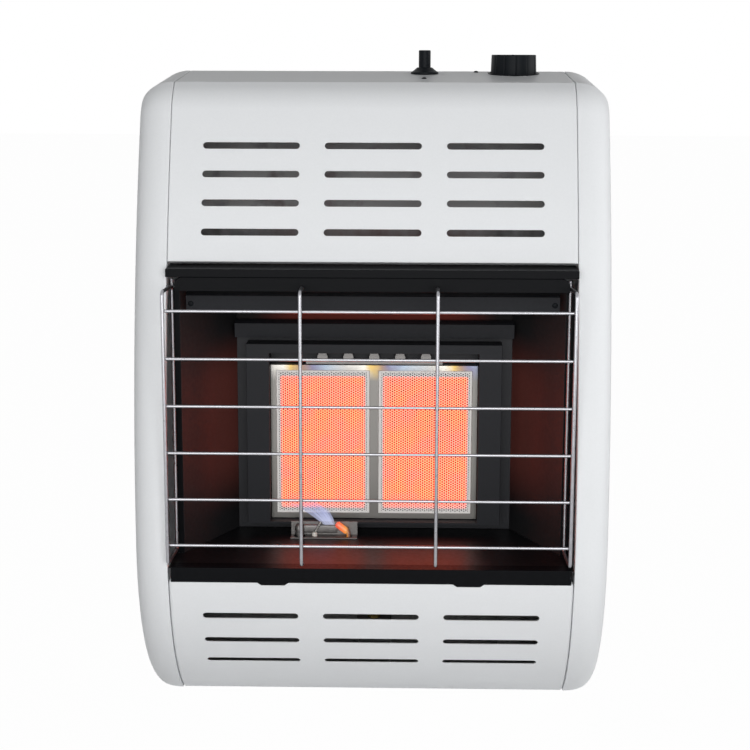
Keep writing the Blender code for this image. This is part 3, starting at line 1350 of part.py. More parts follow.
def make_guard():
    """The chromed wire guard that hangs in front of the firebox, wire by wire as it is welded."""
    for word, side in (("left", -1), ("right", 1)):
        loop = guard_side_loop(side * GUARD_HALF_WIDTH + GUARD_SHIFT)
        tube("guard_" + word + "_frame", loop, UPRIGHT_RADIUS, "chromed_wire", CABINET, cyclic=True)
        x = side * GUARD_HALF_WIDTH / 3 + GUARD_SHIFT
        path = [
            (x, -GUARD_PROUD + HOOK_REACH, GUARD_TOP),
            (x, -GUARD_PROUD, GUARD_TOP),
            (x, -GUARD_PROUD, GUARD_FOOT),
            (x, -GUARD_PROUD + HOOK_REACH * 0.5, GUARD_FOOT - 0.004),
        ]
        path = rounded_path(path, GUARD_BEND, 3)
        tube("guard_" + word + "_upright", path, UPRIGHT_RADIUS, "chromed_wire", CABINET)
    behind = -GUARD_PROUD + UPRIGHT_RADIUS + SEAT + CROSSBAR_RADIUS
    for bar in range(CROSSBARS):
        height = CROSSBAR_LOWEST + bar * CROSSBAR_PITCH
        path = [(side * GUARD_HALF_WIDTH + GUARD_SHIFT, behind, height) for side in (-1, 1)]
        tube(f"guard_crossbar_{bar + 1}", path, CROSSBAR_RADIUS, "chromed_wire", CABINET)


clear_scene()
HEATER = new_collection("plaque_gas_heater", False)
CUTTERS = new_collection("heater_cutters", True)
CABINET = empty("cabinet_front_line", (0, FRONT_Y, 0))
CONTROL_HEIGHT = top_height(CONTROL_DEPTH)
KNOB_AXIS = empty("knob_axis", (KNOB_X, CONTROL_DEPTH, CONTROL_HEIGHT), 0.0, CABINET)
IGNITER_AXIS = empty("igniter_axis", (IGNITER_X, CONTROL_DEPTH, CONTROL_HEIGHT), 0.0, CABINET)

make_cabinet()
make_back_and_base()
make_hood()
make_ledge()
make_firebox()
make_burner()
make_gas_train()
make_pilot()
make_pipes()
make_valve_and_knob()
make_igniter()
make_guard()
bpy.context.view_layer.update()
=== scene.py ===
# %% [markdown]
# # A vent-free plaque heater
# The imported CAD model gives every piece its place. This script gives each piece its finish, and
# builds finer versions of the pieces that a visitor looks at: the enamelled cabinet, the wire
# guard, the glowing burner, the pilot and the controls. All sizes are metres, +Z is up and the
# front faces -Y.

import json
import math

import bmesh
import bpy
from mathutils import Matrix, Vector

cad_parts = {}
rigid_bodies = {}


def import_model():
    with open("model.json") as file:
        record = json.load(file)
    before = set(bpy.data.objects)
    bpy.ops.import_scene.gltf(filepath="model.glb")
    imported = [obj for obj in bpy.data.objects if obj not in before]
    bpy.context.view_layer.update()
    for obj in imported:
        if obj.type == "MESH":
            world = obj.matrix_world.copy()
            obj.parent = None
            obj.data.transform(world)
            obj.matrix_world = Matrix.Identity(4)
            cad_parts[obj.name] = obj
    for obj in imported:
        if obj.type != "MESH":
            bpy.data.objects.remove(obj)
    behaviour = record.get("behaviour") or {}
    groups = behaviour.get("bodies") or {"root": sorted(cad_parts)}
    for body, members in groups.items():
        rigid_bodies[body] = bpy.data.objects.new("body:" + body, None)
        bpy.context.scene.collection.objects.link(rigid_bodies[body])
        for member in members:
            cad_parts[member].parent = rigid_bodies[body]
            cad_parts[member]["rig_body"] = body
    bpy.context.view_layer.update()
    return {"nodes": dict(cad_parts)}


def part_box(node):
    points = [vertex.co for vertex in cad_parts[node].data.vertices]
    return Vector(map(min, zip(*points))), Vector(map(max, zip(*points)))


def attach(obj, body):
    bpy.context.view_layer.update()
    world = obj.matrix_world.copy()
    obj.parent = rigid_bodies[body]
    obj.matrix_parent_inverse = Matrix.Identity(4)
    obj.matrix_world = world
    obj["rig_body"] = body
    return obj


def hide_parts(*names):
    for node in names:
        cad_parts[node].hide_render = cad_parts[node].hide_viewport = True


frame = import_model()
nodes = frame["nodes"]
scene = bpy.context.scene

# %% [markdown]
# ## Measuring the frame
# The cabinet is drawn from its side section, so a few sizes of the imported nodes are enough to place
# everything else: the foremost line, the seams between the casings and the panels, and the flat
# back.

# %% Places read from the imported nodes
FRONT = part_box("left_side_casing")[0].y
casing_low, casing_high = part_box("right_side_casing")
SEAM = casing_low.x
HALF_WIDTH = casing_high.x
BODY_DEPTH = casing_high.y - FRONT
PANEL_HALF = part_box("upper_front_panel")[1].x
print("cabinet", round(2 * HALF_WIDTH, 4), "wide and", round(BODY_DEPTH, 4), "deep")


def behind_front(x, depth, height):
    """A point given by its depth behind the cabinet's foremost line."""
    return Vector((x, FRONT + depth, height))


# %% [markdown]
# ## Colour and nodes
# Colours are written as the hex values that a paint chart gives. Blender's shaders want linear
# light, so one function turns hex into linear. A second one adds a shader node together with its
# settings and links. Its sockets are given in their order, or by name or number: a Map Range node
# takes a value, the range that it comes from and the range that it goes to. A colour Mix takes its
# share at 0 and its two colours at 6 and 7, and gives the mixed colour at its output 2.

# %% Two helpers for every material
def linear(hex_colour):
    """The linear colour behind an sRGB hex value such as E6E8EA."""
    values = [int(hex_colour[place:place + 2], 16) / 255 for place in (0, 2, 4)]
    return [v / 12.92 if v <= 0.04045 else ((v + 0.055) / 1.055) ** 2.4 for v in values] + [1.0]


MIX_COLOURS = {"out": 2, "data_type": "RGBA"}
SMOOTH_STEP = {"interpolation_type": "SMOOTHSTEP"}


def add_node(tree, kind, sockets=(), out=0, stops=(), **settings):
    """Adds a node and returns one output. A socket takes a value, a hex colour or an output."""
    new = tree.nodes.new("ShaderNode" + kind)
    for key, value in settings.items():
        setattr(new, key, value)
    for key, value in sockets.items() if isinstance(sockets, dict) else enumerate(sockets):
        if isinstance(value, bpy.types.NodeSocket):
            tree.links.new(value, new.inputs[key])
        else:
            new.inputs[key].default_value = linear(value) if isinstance(value, str) else value
    for number, (position, colour) in enumerate(stops):
        ramp = new.color_ramp.elements
        stop = ramp[number] if number < 2 else ramp.new(position)
        stop.position = position
        stop.color = linear(colour)
    return new.outputs[out]


def start_material(name, slot, colour, roughness, metallic=0.0, **shader_sockets):
    """A Principled material with its constant values on the shader itself."""
    material = bpy.data.materials.new(name)
    material.use_nodes = True
    shader = material.node_tree.nodes["Principled BSDF"]
    shader.inputs["Base Color"].default_value = linear(colour)
    shader.inputs["Roughness"].default_value = roughness
    shader.inputs["Metallic"].default_value = metallic
    for key, value in shader_sockets.items():
        shader.inputs[key.replace("_", " ")].default_value = value
    material.diffuse_color = linear(colour)
    return material


def surface_axes(material):
    """The material's tree, the place on the object, and that place's X, Y and Z."""
    tree = material.node_tree
    place = add_node(tree, "TexCoord", out="Object")
    return tree, place, add_node(tree, "SeparateXYZ", (place,)).node.outputs


def feed(material, socket, output):
    shader = material.node_tree.nodes["Principled BSDF"]
    material.node_tree.links.new(output, shader.inputs[socket])


def grained(material, size, colours, roughnesses, bump=0.0, stretch=(1, 1, 1)):
    """Grain of a real size in metres, which mottles colour and gloss and can raise a fine bump."""
    tree = material.node_tree
    place = add_node(tree, "TexCoord", out="Object")
    place = add_node(tree, "Mapping", {"Vector": place, "Scale": stretch})
    noise = {"Vector": place, "Scale": 1 / size, "Detail": 4.0, "Roughness": 0.55}
    grain = add_node(tree, "TexNoise", noise)
    tint = add_node(tree, "Mix", {0: grain, 6: colours[0], 7: colours[1]}, **MIX_COLOURS)
    feed(material, "Base Color", tint)
    feed(material, "Roughness", add_node(tree, "MapRange", (grain, 0.3, 0.7, *roughnesses)))
    if bump:
        relief = {"Height": grain, "Strength": 1.0, "Distance": bump}
        feed(material, "Normal", add_node(tree, "Bump", relief))


# %% [markdown]
# ## The camera
# The photograph was taken with a long lens, a little above the heater and a little to its right.
# The camera's place comes from lines on the heater whose real sizes are known: the seams, the slots
# and the guard's wires. One view of 36 mm width stands for the 750 pixels of the picture.

# %% A long lens, 11 degrees down
SENSOR_WIDTH = 36.0
PICTURE_PIXELS = 750
LENS_PIXELS = 1648.7
CAMERA_PLACE = (0.0377, -1.6784, 0.6642)
CAMERA_TURN, CAMERA_DOWN, CAMERA_ROLL = 1.24, 11.07, 0.15

camera_data = bpy.data.cameras.new("studio_camera")
camera_data.sensor_width = SENSOR_WIDTH
camera_data.lens = SENSOR_WIDTH * LENS_PIXELS / PICTURE_PIXELS
camera = bpy.data.objects.new("studio_camera", camera_data)
camera.location = CAMERA_PLACE
turn = Matrix.Rotation(math.radians(CAMERA_TURN), 4, "Z")
tip = Matrix.Rotation(math.radians(90 - CAMERA_DOWN), 4, "X")
roll = Matrix.Rotation(math.radians(CAMERA_ROLL), 4, "Z")
camera.rotation_euler = (turn @ tip @ roll).to_euler()
scene.collection.objects.link(camera)
scene.camera = camera
scene.view_settings.view_transform = "Standard"
print("lens", round(camera_data.lens, 1), "mm")

# %% [markdown]
# ## Light, floor and background
# The heater stood in a white studio between three broad softboxes: a weak one in front, a stronger
# one at its right and a weaker one at its left, all hung low, so the front and the right side are
# bright, the left side falls off to grey and the top is darker still. The white of the background
# comes from what the camera and mirror-like surfaces see, not from more light.

# %% Lamps
LAMP_AIM = Vector((0, 0, 0.36))
for name, place, width, height, watts in (
    ("front_softbox", (0.2, -3.0, 0.88), 3.0, 2.0, 88),
    ("right_softbox", (3.0, 0.1, 0.50), 2.2, 1.8, 47),
    ("left_softbox", (-2.9, -0.8, 0.45), 2.0, 1.8, 10),
):
    lamp = bpy.data.lights.new(name, "AREA")
    lamp.shape = "RECTANGLE"
    lamp.size = width
    lamp.size_y = height
    lamp.energy = watts
    holder = bpy.data.objects.new(name, lamp)
    holder.location = place
    holder.rotation_euler = (LAMP_AIM - Vector(place)).to_track_quat("-Z", "Y").to_euler()
    scene.collection.objects.link(holder)
    print(name, watts, "W")

# %% A world that looks white but lights gently
WORLD_LIGHT = 0.04
world = bpy.data.worlds.new("studio_world")
scene.world = world
world.use_nodes = True
tree = world.node_tree
sky = tree.nodes["Background"]
sky.inputs["Color"].default_value = (1, 1, 1, 1)
rays = add_node(tree, "LightPath").node.outputs
seen = 0.0
for ray in ("Is Camera Ray", "Is Glossy Ray", "Is Transmission Ray"):
    seen = add_node(tree, "Math", (rays[ray], seen), operation="ADD", use_clamp=True)
level = add_node(tree, "MapRange", {0: seen, 3: WORLD_LIGHT, 4: 1.0})
tree.links.new(level, sky.inputs["Strength"])
print("the world lights at", WORLD_LIGHT, "and shows at 1")

# %% The floor keeps a soft shadow
FLOOR_REACH = 12
PAPER_WHITE = 0.985
paper = bpy.data.materials.new("white_backdrop_paper")
paper.use_nodes = True
tree = paper.node_tree
tree.nodes.remove(tree.nodes["Principled BSDF"])
rays = add_node(tree, "LightPath").node.outputs
seen = (rays["Is Camera Ray"], rays["Is Glossy Ray"])
seen = add_node(tree, "Math", seen, operation="ADD", use_clamp=True)
share = add_node(tree, "Math", (seen, PAPER_WHITE), operation="MULTIPLY")
shaded = add_node(tree, "BsdfDiffuse", {"Color": "C8C8C8"})
white = add_node(tree, "Emission", {"Color": (1, 1, 1, 1), "Strength": 1.0})
mixed = add_node(tree, "MixShader", (share, shaded, white))
tree.links.new(mixed, tree.nodes["Material Output"].inputs["Surface"])
corners = [(FLOOR_REACH * x, FLOOR_REACH * y, 0) for x, y in ((-1, -1), (1, -1), (1, 1), (-1, 1))]
floor_mesh = bpy.data.meshes.new("studio_floor")
floor_mesh.from_pydata(corners, [], [(0, 1, 2, 3)])
floor_mesh.materials.append(paper)
floor = bpy.data.objects.new("studio_floor", floor_mesh)
scene.collection.objects.link(floor)
print("a paper floor", 2 * FLOOR_REACH, "m across")

# %% [markdown]
# ## Enamels and paints
# The cabinet is pressed steel, sprayed white and baked. Baked enamel levels almost flat, but under
# a soft light it still shows a faint orange peel about 2 mm across. The firebox is vitreous enamel:
# fired glass, nearly black and glossier than the cabinet, so the glow of the burner lies in it as a
# red reflection.

# %% White baked enamel
white_enamel = start_material(
    "white_baked_enamel", "white_enamel", "E6E8EA", 0.42, Specular_IOR_Level=0.14)
grained(white_enamel, 0.0022, ("E4E6E8", "E9EBED"), (0.38, 0.48), bump=0.00001)

# Black vitreous enamel, for the firebox floor: it carries the red reflection, blurred
firebox_enamel = start_material(
    "black_vitreous_enamel", "black_enamel", "0C0C0E", 0.42, Specular_IOR_Level=0.20)
grained(firebox_enamel, 0.0045, ("09090B", "0F0F12"), (0.38, 0.46), bump=0.000015)

# Black hood enamel, the darkest, on the hood and the ledge that face the room
hood_enamel = start_material(
    "black_hood_enamel", "black_enamel", "0A0B0D", 0.40, Specular_IOR_Level=0.05)
grained(hood_enamel, 0.0030, ("08090B", "0C0D10"), (0.34, 0.46), bump=0.00001)

# Black satin enamel for the rear wall and the louvres, greyed by heat
satin_enamel = start_material(
    "black_satin_enamel", "black_enamel", "1C1D20", 0.42, Specular_IOR_Level=0.16)
grained(satin_enamel, 0.0030, ("18191C", "212226"), (0.36, 0.48), bump=0.00001)

# Black stove paint, for the surround: baked dull, with a fine grit
stove_paint = start_material(
    "black_stove_paint", "black_paint", "1C1D20", 0.55, Specular_IOR_Level=0.16)
grained(stove_paint, 0.0012, ("191A1D", "202125"), (0.48, 0.62), bump=0.00002)

# %% [markdown]
# ## Dulled enamel and painted glow
# The side walls and the baffle stand close to the burner. The walls' enamel is dulled, and a
# red-brown patch on it, which fades out towards the edges, is a painted reflection of the burner's
# glow. The baffle is dark, with a painted red glow over the burner, and stays clean zinc only behind
# the upper slots. Each patch is a product of ramps along the axes, which is easier to steer than a
# painted mask.

# %% The same enamel on the side walls, dulled so that the glow spreads over them, with a painted glow patch
wall_enamel = start_material(
    "dulled_vitreous_enamel_with_painted_glow", "black_enamel", "0B0B0D", 0.55, Specular_IOR_Level=0.42)
grained(wall_enamel, 0.0045, ("08080A", "0E0E11"), (0.50, 0.60), bump=0.000015)
tree, _, axes = surface_axes(wall_enamel)
# A red-brown patch between the plaques' heights, fading towards the front, the top and the bottom: a
# painted reflection of the burner's glow.
painted_glow = 1.0
for axis, glow_fades_at, glow_full_at in (("Y", -0.045, 0.015), ("Z", 0.382, 0.325), ("Z", 0.180, 0.250)):
    within = add_node(tree, "MapRange", (axes[axis], glow_fades_at, glow_full_at), **SMOOTH_STEP)
    painted_glow = add_node(tree, "Math", (painted_glow, within), operation="MULTIPLY")
with_painted_glow = add_node(tree, "Mix", {0: painted_glow, 6: "0B0B0D", 7: "5A2C26"}, **MIX_COLOURS)
feed(wall_enamel, "Base Color", with_painted_glow)

# %% Galvanised steel for the baffle, dull and dark, with a painted red glow over the burner
darkened_baffle_steel = start_material(
    "dark_galvanised_steel_with_painted_glow", "galvanised_steel", "9A9B9C", 0.60, 0.2, Specular_IOR_Level=0.1)
tree, place, axes = surface_axes(darkened_baffle_steel)
wander = add_node(tree, "TexNoise", {"Vector": place, "Scale": 1 / 0.02, "Detail": 3.0})
clean = add_node(tree, "MapRange", (axes["Z"], 0.455, 0.500))
clean = add_node(tree, "Math", (clean, wander), operation="MULTIPLY")
clean = add_node(tree, "MapRange", {0: clean, 2: 0.45})
# Across the middle, over the burner, the dark turns red: a painted reflection of the burner's glow.
aside = add_node(tree, "Math", (axes["X"],), operation="ABSOLUTE")
painted_glow = add_node(tree, "MapRange", (aside, 0.135, 0.075), **SMOOTH_STEP)
baffle_colour_with_painted_glow = add_node(tree, "Mix", {0: painted_glow, 6: "100D0C", 7: "5A2018"}, **MIX_COLOURS)
baffle_colour_with_painted_glow = add_node(tree, "Mix", {0: clean, 6: baffle_colour_with_painted_glow, 7: "A6A7A8"}, **MIX_COLOURS)
feed(darkened_baffle_steel, "Base Color", baffle_colour_with_painted_glow)
print("browned:", wall_enamel.name, "and", darkened_baffle_steel.name)

# %% [markdown]
# ## Bare steels
# Galvanised sheet shows spangles, zinc crystals about a centimetre across, which a Voronoi pattern
# gives. Aluminised sheet and tube are duller and streaked along the rolling direction. The burner
# frame is stainless, and heat has tinted its top edge straw, brown and blue.

# %% Galvanised sheet with 9 mm spangles
galvanised = start_material("galvanised_steel", "galvanised_steel", "A9ABAD", 0.42, 0.5)
tree = galvanised.node_tree
place = add_node(tree, "TexCoord", out="Object")
spangles = add_node(tree, "TexVoronoi", {"Vector": place, "Scale": 1 / 0.009}, "Color")
grey = add_node(tree, "MapRange", {0: spangles, 3: 0.24, 4: 0.34})
feed(galvanised, "Base Color", add_node(tree, "CombineColor", (grey, grey, grey)))
feed(galvanised, "Roughness", add_node(tree, "MapRange", {0: spangles, 3: 0.45, 4: 0.62}))

# Aluminised steel, streaked
aluminised = start_material("aluminised_steel", "aluminised_steel", "BDBDBE", 0.36, 0.9)
grained(aluminised, 0.002, ("A8A8AA", "C8C8C9"), (0.3, 0.45), stretch=(1, 1, 0.08))

# Brushed stainless, fine lines that are drawn 0.8 mm apart so that they show
stainless = start_material("brushed_stainless_steel", "stainless_steel", "B9B7B2", 0.3, 1.0)
grained(stainless, 0.0008, ("9C9A96", "CFCDC8"), (0.24, 0.42), 0.000008, stretch=(0.06, 1, 1))

# Stainless that has been through the flame, for the pilot and the clamp strip: dull and brown
sooted_stainless = start_material(
    "flame_dulled_stainless_steel", "stainless_steel", "6E6C6A", 0.45, 0.9)
grained(sooted_stainless, 0.0035, ("5A5654", "807F7E"), (0.38, 0.58), bump=0.00001)
print("spangled, streaked, brushed and sooted steel")

# %% Heat-tinted stainless, for the burner frame
tinted_stainless = start_material(
    "heat_tinted_stainless_steel", "stainless_steel", "B5B2AE", 0.32, 1.0)
tree, place, axes = surface_axes(tinted_stainless)
wander = add_node(tree, "TexNoise", {"Vector": place, "Scale": 1 / 0.03, "Detail": 3.0})
# Across the top edge the tint runs from bare steel through straw and violet to blue, and again
# every 85 mm or so.
tint = add_node(tree, "Math", (axes["X"], 11.8, 0.10), operation="MULTIPLY_ADD")
tint = add_node(tree, "Math", (wander, 0.35, tint), operation="MULTIPLY_ADD")
tint = add_node(tree, "Math", (tint,), operation="FRACT")
tint = add_node(tree, "ValToRGB", (tint,), stops=(
    (0, "A9A7A3"), (1, "A9A7A3"), (0.18, "C9C5BC"), (0.28, "BFA25E"), (0.38, "8A7262"),
    (0.50, "706E86"), (0.66, "8E9BAA")))
height = add_node(tree, "MapRange", (axes["Z"], 0.325, 0.341))
tint = add_node(tree, "Mix", {0: height, 6: "72706D", 7: tint}, **MIX_COLOURS)
feed(tinted_stainless, "Base Color", tint)

# %% The thermocouple's tip: the same steel, red hot where the pilot flame licks it
hot_steel = start_material(
    "red_hot_stainless_steel", "stainless_steel", "6A625C", 0.5, 0.6, Emission_Strength=1.0)
tree, _, axes = surface_axes(hot_steel)
heat = add_node(tree, "MapRange", (axes["X"], -0.0235, -0.0385))
heat = add_node(tree, "ValToRGB", (heat,), stops=(
    (0, "000000"), (1, "E8502E"), (0.15, "5A2608"), (0.35, "E89030"), (0.7, "F26A30")))
feed(hot_steel, "Emission Color", heat)

# %% Burning gas: a pale violet veil that thins out towards its tips
burning_gas = start_material(
    "burning_gas", None, "05060C", 1.0, Specular_IOR_Level=0.0, Emission_Strength=1.0)
tree, _, axes = surface_axes(burning_gas)
veil = add_node(tree, "MapRange", (axes["Z"], 0.172, 0.200, 0.38, 0.03))
gas = add_node(tree, "ValToRGB", (veil,), stops=((0, "A8B0F0"), (0.38, "DCE2FF")))
feed(burning_gas, "Emission Color", gas)
feed(burning_gas, "Alpha", veil)

# %% [markdown]
# ## Metals, plastic and insulators of the small parts
# The guard is chromed wire, the screws zinc plated, the gas fittings brass and the valve die cast.
# The knob and the igniter are phenolic, a plastic that stands heat: satin, with a fine moulded
# texture. Each starts from the usual roughness of its metal and gets a grain as fine as its making.

# %% Chromed wire, zinc plate, brass, die-cast alloy, copper, phenolic, sleeving and alumina
chrome = start_material("chromed_steel_wire", "chromed_wire", "98989C", 0.3, 1.0)
grained(chrome, 0.004, ("8E8E92", "A4A4A8"), (0.26, 0.36))
zinc_plate = start_material("zinc_plated_screw_steel", "galvanised_steel", "B8B9BB", 0.3, 1.0)
grained(zinc_plate, 0.001, ("A5A6A8", "CACBCD"), (0.25, 0.4))
brass = start_material("machined_brass", "brass", "CDAE6B", 0.28, 1.0)
grained(brass, 0.0006, ("BE9E5B", "D9BC7C"), (0.22, 0.36), stretch=(1, 1, 0.2))
die_cast = start_material("die_cast_aluminium", "die_cast_alloy", "9C9EA1", 0.5, 0.85)
grained(die_cast, 0.0014, ("8C8E91", "A9ABAE"), (0.42, 0.62), bump=0.00004)
copper = start_material("drawn_copper_capillary", "copper_lead", "B87352", 0.32, 1.0)
grained(copper, 0.003, ("A5623F", "C98563"), (0.25, 0.42))
phenolic = start_material(
    "moulded_black_phenolic", "black_plastic", "111417", 0.42, Specular_IOR_Level=0.06)
grained(phenolic, 0.0007, ("0E1114", "15181C"), (0.36, 0.48), bump=0.000012)
sleeving = start_material("braided_glass_sleeving", "wire_sleeve", "8E3A2A", 0.6)
grained(sleeving, 0.0009, ("7A2E21", "A1483A"), (0.5, 0.7), bump=0.00006)
alumina = start_material("sintered_alumina", "burner_ceramic", "DAD6CE", 0.35)
grained(alumina, 0.002, ("CFCAC0", "E0DDD6"), (0.28, 0.42))

# %% [markdown]
# ## Glowing ceramic
# Each plaque is a cordierite tile with thousands of burner ports, 1.4 mm across and 2.7 mm apart,
# in staggered columns. Gas burns just inside the ports, so the web between them glows orange and
# salmon, while the ports stay dark. The outermost port rows and the plain rim stay cool and pale.
# Thousands of real holes would make a heavy mesh, so the pattern is worked out from the distance to
# the nearest port centre, in millimetres from the tile's own centre, one Math node to a line. Each
# port is painted dark, a painted shade for the depth of the hole.

# %% The plaque's port pattern
PORT_COLUMN = 2.32
PORT_PITCH = 2.68
PORT_RADIUS = 0.68
PORT_LIP = 0.24
HALF_ACROSS = 51.0
HALF_UP = 79.0

plaque_ceramic = start_material("glowing_cordierite_plaque", "burner_ceramic", "E4DFD8", 0.9)
tree = plaque_ceramic.node_tree
place = add_node(tree, "TexCoord", out="Object")
millimetres = add_node(tree, "Mapping", {"Vector": place, "Scale": (1000, 1000, 1000)})
axes = add_node(tree, "SeparateXYZ", (millimetres,)).node.outputs
sums = {"x": axes["X"], "z": axes["Z"]}
for result, operation, first, second in (
    ("column", "DIVIDE", "x", PORT_COLUMN),
    ("column number", "ROUND", "column", 0),
    ("column share", "SUBTRACT", "column", "column number"),
    ("across", "MULTIPLY", "column share", PORT_COLUMN),
    ("odd column", "PINGPONG", "column number", 1),
    ("stagger", "MULTIPLY", "odd column", 0.5),
    ("level", "DIVIDE", "z", PORT_PITCH),
    ("row", "ADD", "level", "stagger"),
    ("row number", "ROUND", "row", 0),
    ("row share", "SUBTRACT", "row", "row number"),
    ("along", "MULTIPLY", "row share", PORT_PITCH),
    ("across squared", "MULTIPLY", "across", "across"),
    ("along squared", "MULTIPLY", "along", "along"),
    ("distance squared", "ADD", "across squared", "along squared"),
    ("distance", "SQRT", "distance squared", 0),
    ("aside", "ABSOLUTE", "x", 0),
    ("rise", "ABSOLUTE", "z", 0),
    ("drilled across", "LESS_THAN", "aside", HALF_ACROSS - 4.6),
    ("drilled up", "LESS_THAN", "rise", HALF_UP - 3.8),
    ("drilled", "MULTIPLY", "drilled across", "drilled up"),
):
    terms = (sums[first], sums.get(second, second))
    sums[result] = add_node(tree, "Math", terms, operation=operation)
print("ports", PORT_COLUMN, "by", PORT_PITCH, "mm apart")

# %% Where the plaque glows, and in which colours
GLOW = 4.4
glow = 1.0
for reach, dark, bright in (
    (sums["aside"], HALF_ACROSS - 5.8, HALF_ACROSS - 8.6),
    (sums["z"], HALF_UP - 7.4, HALF_UP - 10.4),
    (sums["z"], 6.0 - HALF_UP, 16.0 - HALF_UP),
):
    lit = add_node(tree, "MapRange", (reach, dark, bright))
    glow = add_node(tree, "Math", (glow, lit), operation="MULTIPLY")
# In the glow a port looks wider than it is, because its lip stays dark too.
lip = add_node(tree, "Math", (glow, PORT_LIP), operation="MULTIPLY")
edge = add_node(tree, "Math", (sums["distance"], lip), operation="SUBTRACT")
edge = (edge, PORT_RADIUS - 0.08, PORT_RADIUS + 0.12, 1.0, 0.0)
edge = add_node(tree, "MapRange", edge, **SMOOTH_STEP)
port = add_node(tree, "Math", (edge, sums["drilled"]), operation="MULTIPLY")
patches = add_node(tree, "TexNoise", {"Vector": millimetres, "Scale": 1 / 22, "Detail": 2.0})
web = add_node(tree, "ValToRGB", (patches,), stops=((0.35, "FF6947"), (0.65, "FF6352")))
# Ports are painted dark, dim red in the glow and grey in the cool rim: painted shade inside the
# holes.
hot = add_node(tree, "Mix", {0: port, 6: web, 7: "2A0503"}, **MIX_COLOURS)
cool = add_node(tree, "Mix", {0: port, 6: "E6E3E0", 7: "3C3A3C"}, **MIX_COLOURS)
unlit = add_node(tree, "Mix", {0: glow, 6: cool, 7: "1A0C08"}, **MIX_COLOURS)
strength = add_node(tree, "Math", (glow, GLOW), operation="MULTIPLY")
drilling = {"Height": port, "Strength": 1.0, "Distance": 0.0004}
feed(plaque_ceramic, "Base Color", unlit)
feed(plaque_ceramic, "Emission Color", hot)
feed(plaque_ceramic, "Emission Strength", strength)
feed(plaque_ceramic, "Normal", add_node(tree, "Bump", drilling, invert=True))

# %% [markdown]
# ## Making a piece
# Most pieces start as a bmesh, get their material and then ride on the CAD body that they belong
# to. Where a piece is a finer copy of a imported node, it replaces that node. Sharp folds in sheet
# steel are never knife edges, so a small bevel goes on before the piece is shaded smooth.

# %% One way to finish every piece
SMOOTH_ANGLE = 32


def closed_mesh(bm, name):
    bmesh.ops.recalc_face_normals(bm, faces=bm.faces)
    mesh = bpy.data.meshes.new(name)
    bm.to_mesh(mesh)
    bm.free()
    return mesh


def smoothed(mesh, angle=SMOOTH_ANGLE):
    mesh.shade_smooth()
    mesh.set_sharp_from_angle(angle=math.radians(angle))
    return mesh


def make_piece(name, shape, material, body="cabinet", stands_for=(), smooth=SMOOTH_ANGLE,
               place=(0, 0, 0)):
    """Turns a bmesh or a curve into a piece that rides on a body of the frame."""
    if isinstance(shape, bmesh.types.BMesh):
        shape = smoothed(closed_mesh(shape, name), smooth)
    shape.materials.append(material)
    piece = bpy.data.objects.new(name, shape)
    piece.location = place
    scene.collection.objects.link(piece)
    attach(piece, body)
    if stands_for:
        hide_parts(*stands_for)
    return piece


def soften(piece, width, segments=2, angle=40):
    """Rounds the sharp edges, as a press brake or a punch leaves them."""
    edge = piece.modifiers.new("rounded_edges", "BEVEL")
    edge.width = width
    edge.segments = segments
    edge.limit_method = "ANGLE"
    edge.angle_limit = math.radians(angle)


def even_shading(piece):
    weigh = piece.modifiers.new("even_shading", "WEIGHTED_NORMAL")
    weigh.keep_sharp = True
    weigh.weight = 60


def dress(node, material, edge=0.0003, segments=2):
    """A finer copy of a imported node: its flat faces are joined again and its folds rounded."""
    source = nodes[node]
    bm = bmesh.new()
    bm.from_mesh(source.data)
    bmesh.ops.remove_doubles(bm, verts=bm.verts, dist=1e-6)
    bmesh.ops.dissolve_limit(bm, angle_limit=math.radians(0.5), verts=bm.verts, edges=bm.edges)
    piece = make_piece(node + "_finished", bm, material, source["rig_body"], (node,))
    soften(piece, edge, segments)
    even_shading(piece)
    return piece


# %% [markdown]
# ## The cabinet's side section
# Seen from the side, the front is two tangent arcs: a long one of 1060 mm radius that leans back to
# the top, and a short one of 209 mm that curls under to the foot. They meet where the front bulges
# most, 175 mm up. The top slopes up to the back and ends in front in a soft crease, 13 mm behind
# the corner that the two would make; from there a round of 52 mm rolls over into the front.

# %% Arcs of the front
BULGE = 0.175
UPPER_RADIUS = 1.060
LOWER_RADIUS = 0.209
BROW_HEIGHT = 0.6340
BACK_HEIGHT = 0.6445
CREASE_SETBACK = 0.0127
CREASE_ANGLE = math.radians(30)
CREASE_RADIUS = 0.0025
CREASE_ROOM = 0.0012
LEAST_RADIUS = 0.0004
ROLL_RADIUS = 0.052
BROW_DEPTH = UPPER_RADIUS - math.sqrt(UPPER_RADIUS**2 - (BROW_HEIGHT - BULGE) ** 2)
TOP_SLOPE = math.atan2(BACK_HEIGHT - BROW_HEIGHT, BODY_DEPTH - BROW_DEPTH)


def ease_corner(before, corner, after, radius, steps):
    """An arc that replaces the corner of a path in two or three dimensions."""
    before, corner, after = Vector(before), Vector(corner), Vector(after)
    arrive = (before - corner).normalized()
    leave = (after - corner).normalized()
    half = arrive.angle(leave) / 2
    reach = radius / math.tan(half)
    centre = corner + (arrive + leave).normalized() * (radius / math.sin(half))
    start = corner + arrive * reach - centre
    end = corner + leave * reach - centre
    swept = start.angle(end)
    points = []
    for step in range(steps + 1):
        share = step / steps
        arm = start * math.sin((1 - share) * swept) + end * math.sin(share * swept)
        points.append(centre + arm / math.sin(swept))
    return points


def on_arc(centre_depth, radius, lean):
    """The (depth, height) point of one of the front's arcs at a lean from the level."""
    return centre_depth - radius * math.cos(lean), BULGE + radius * math.sin(lean)


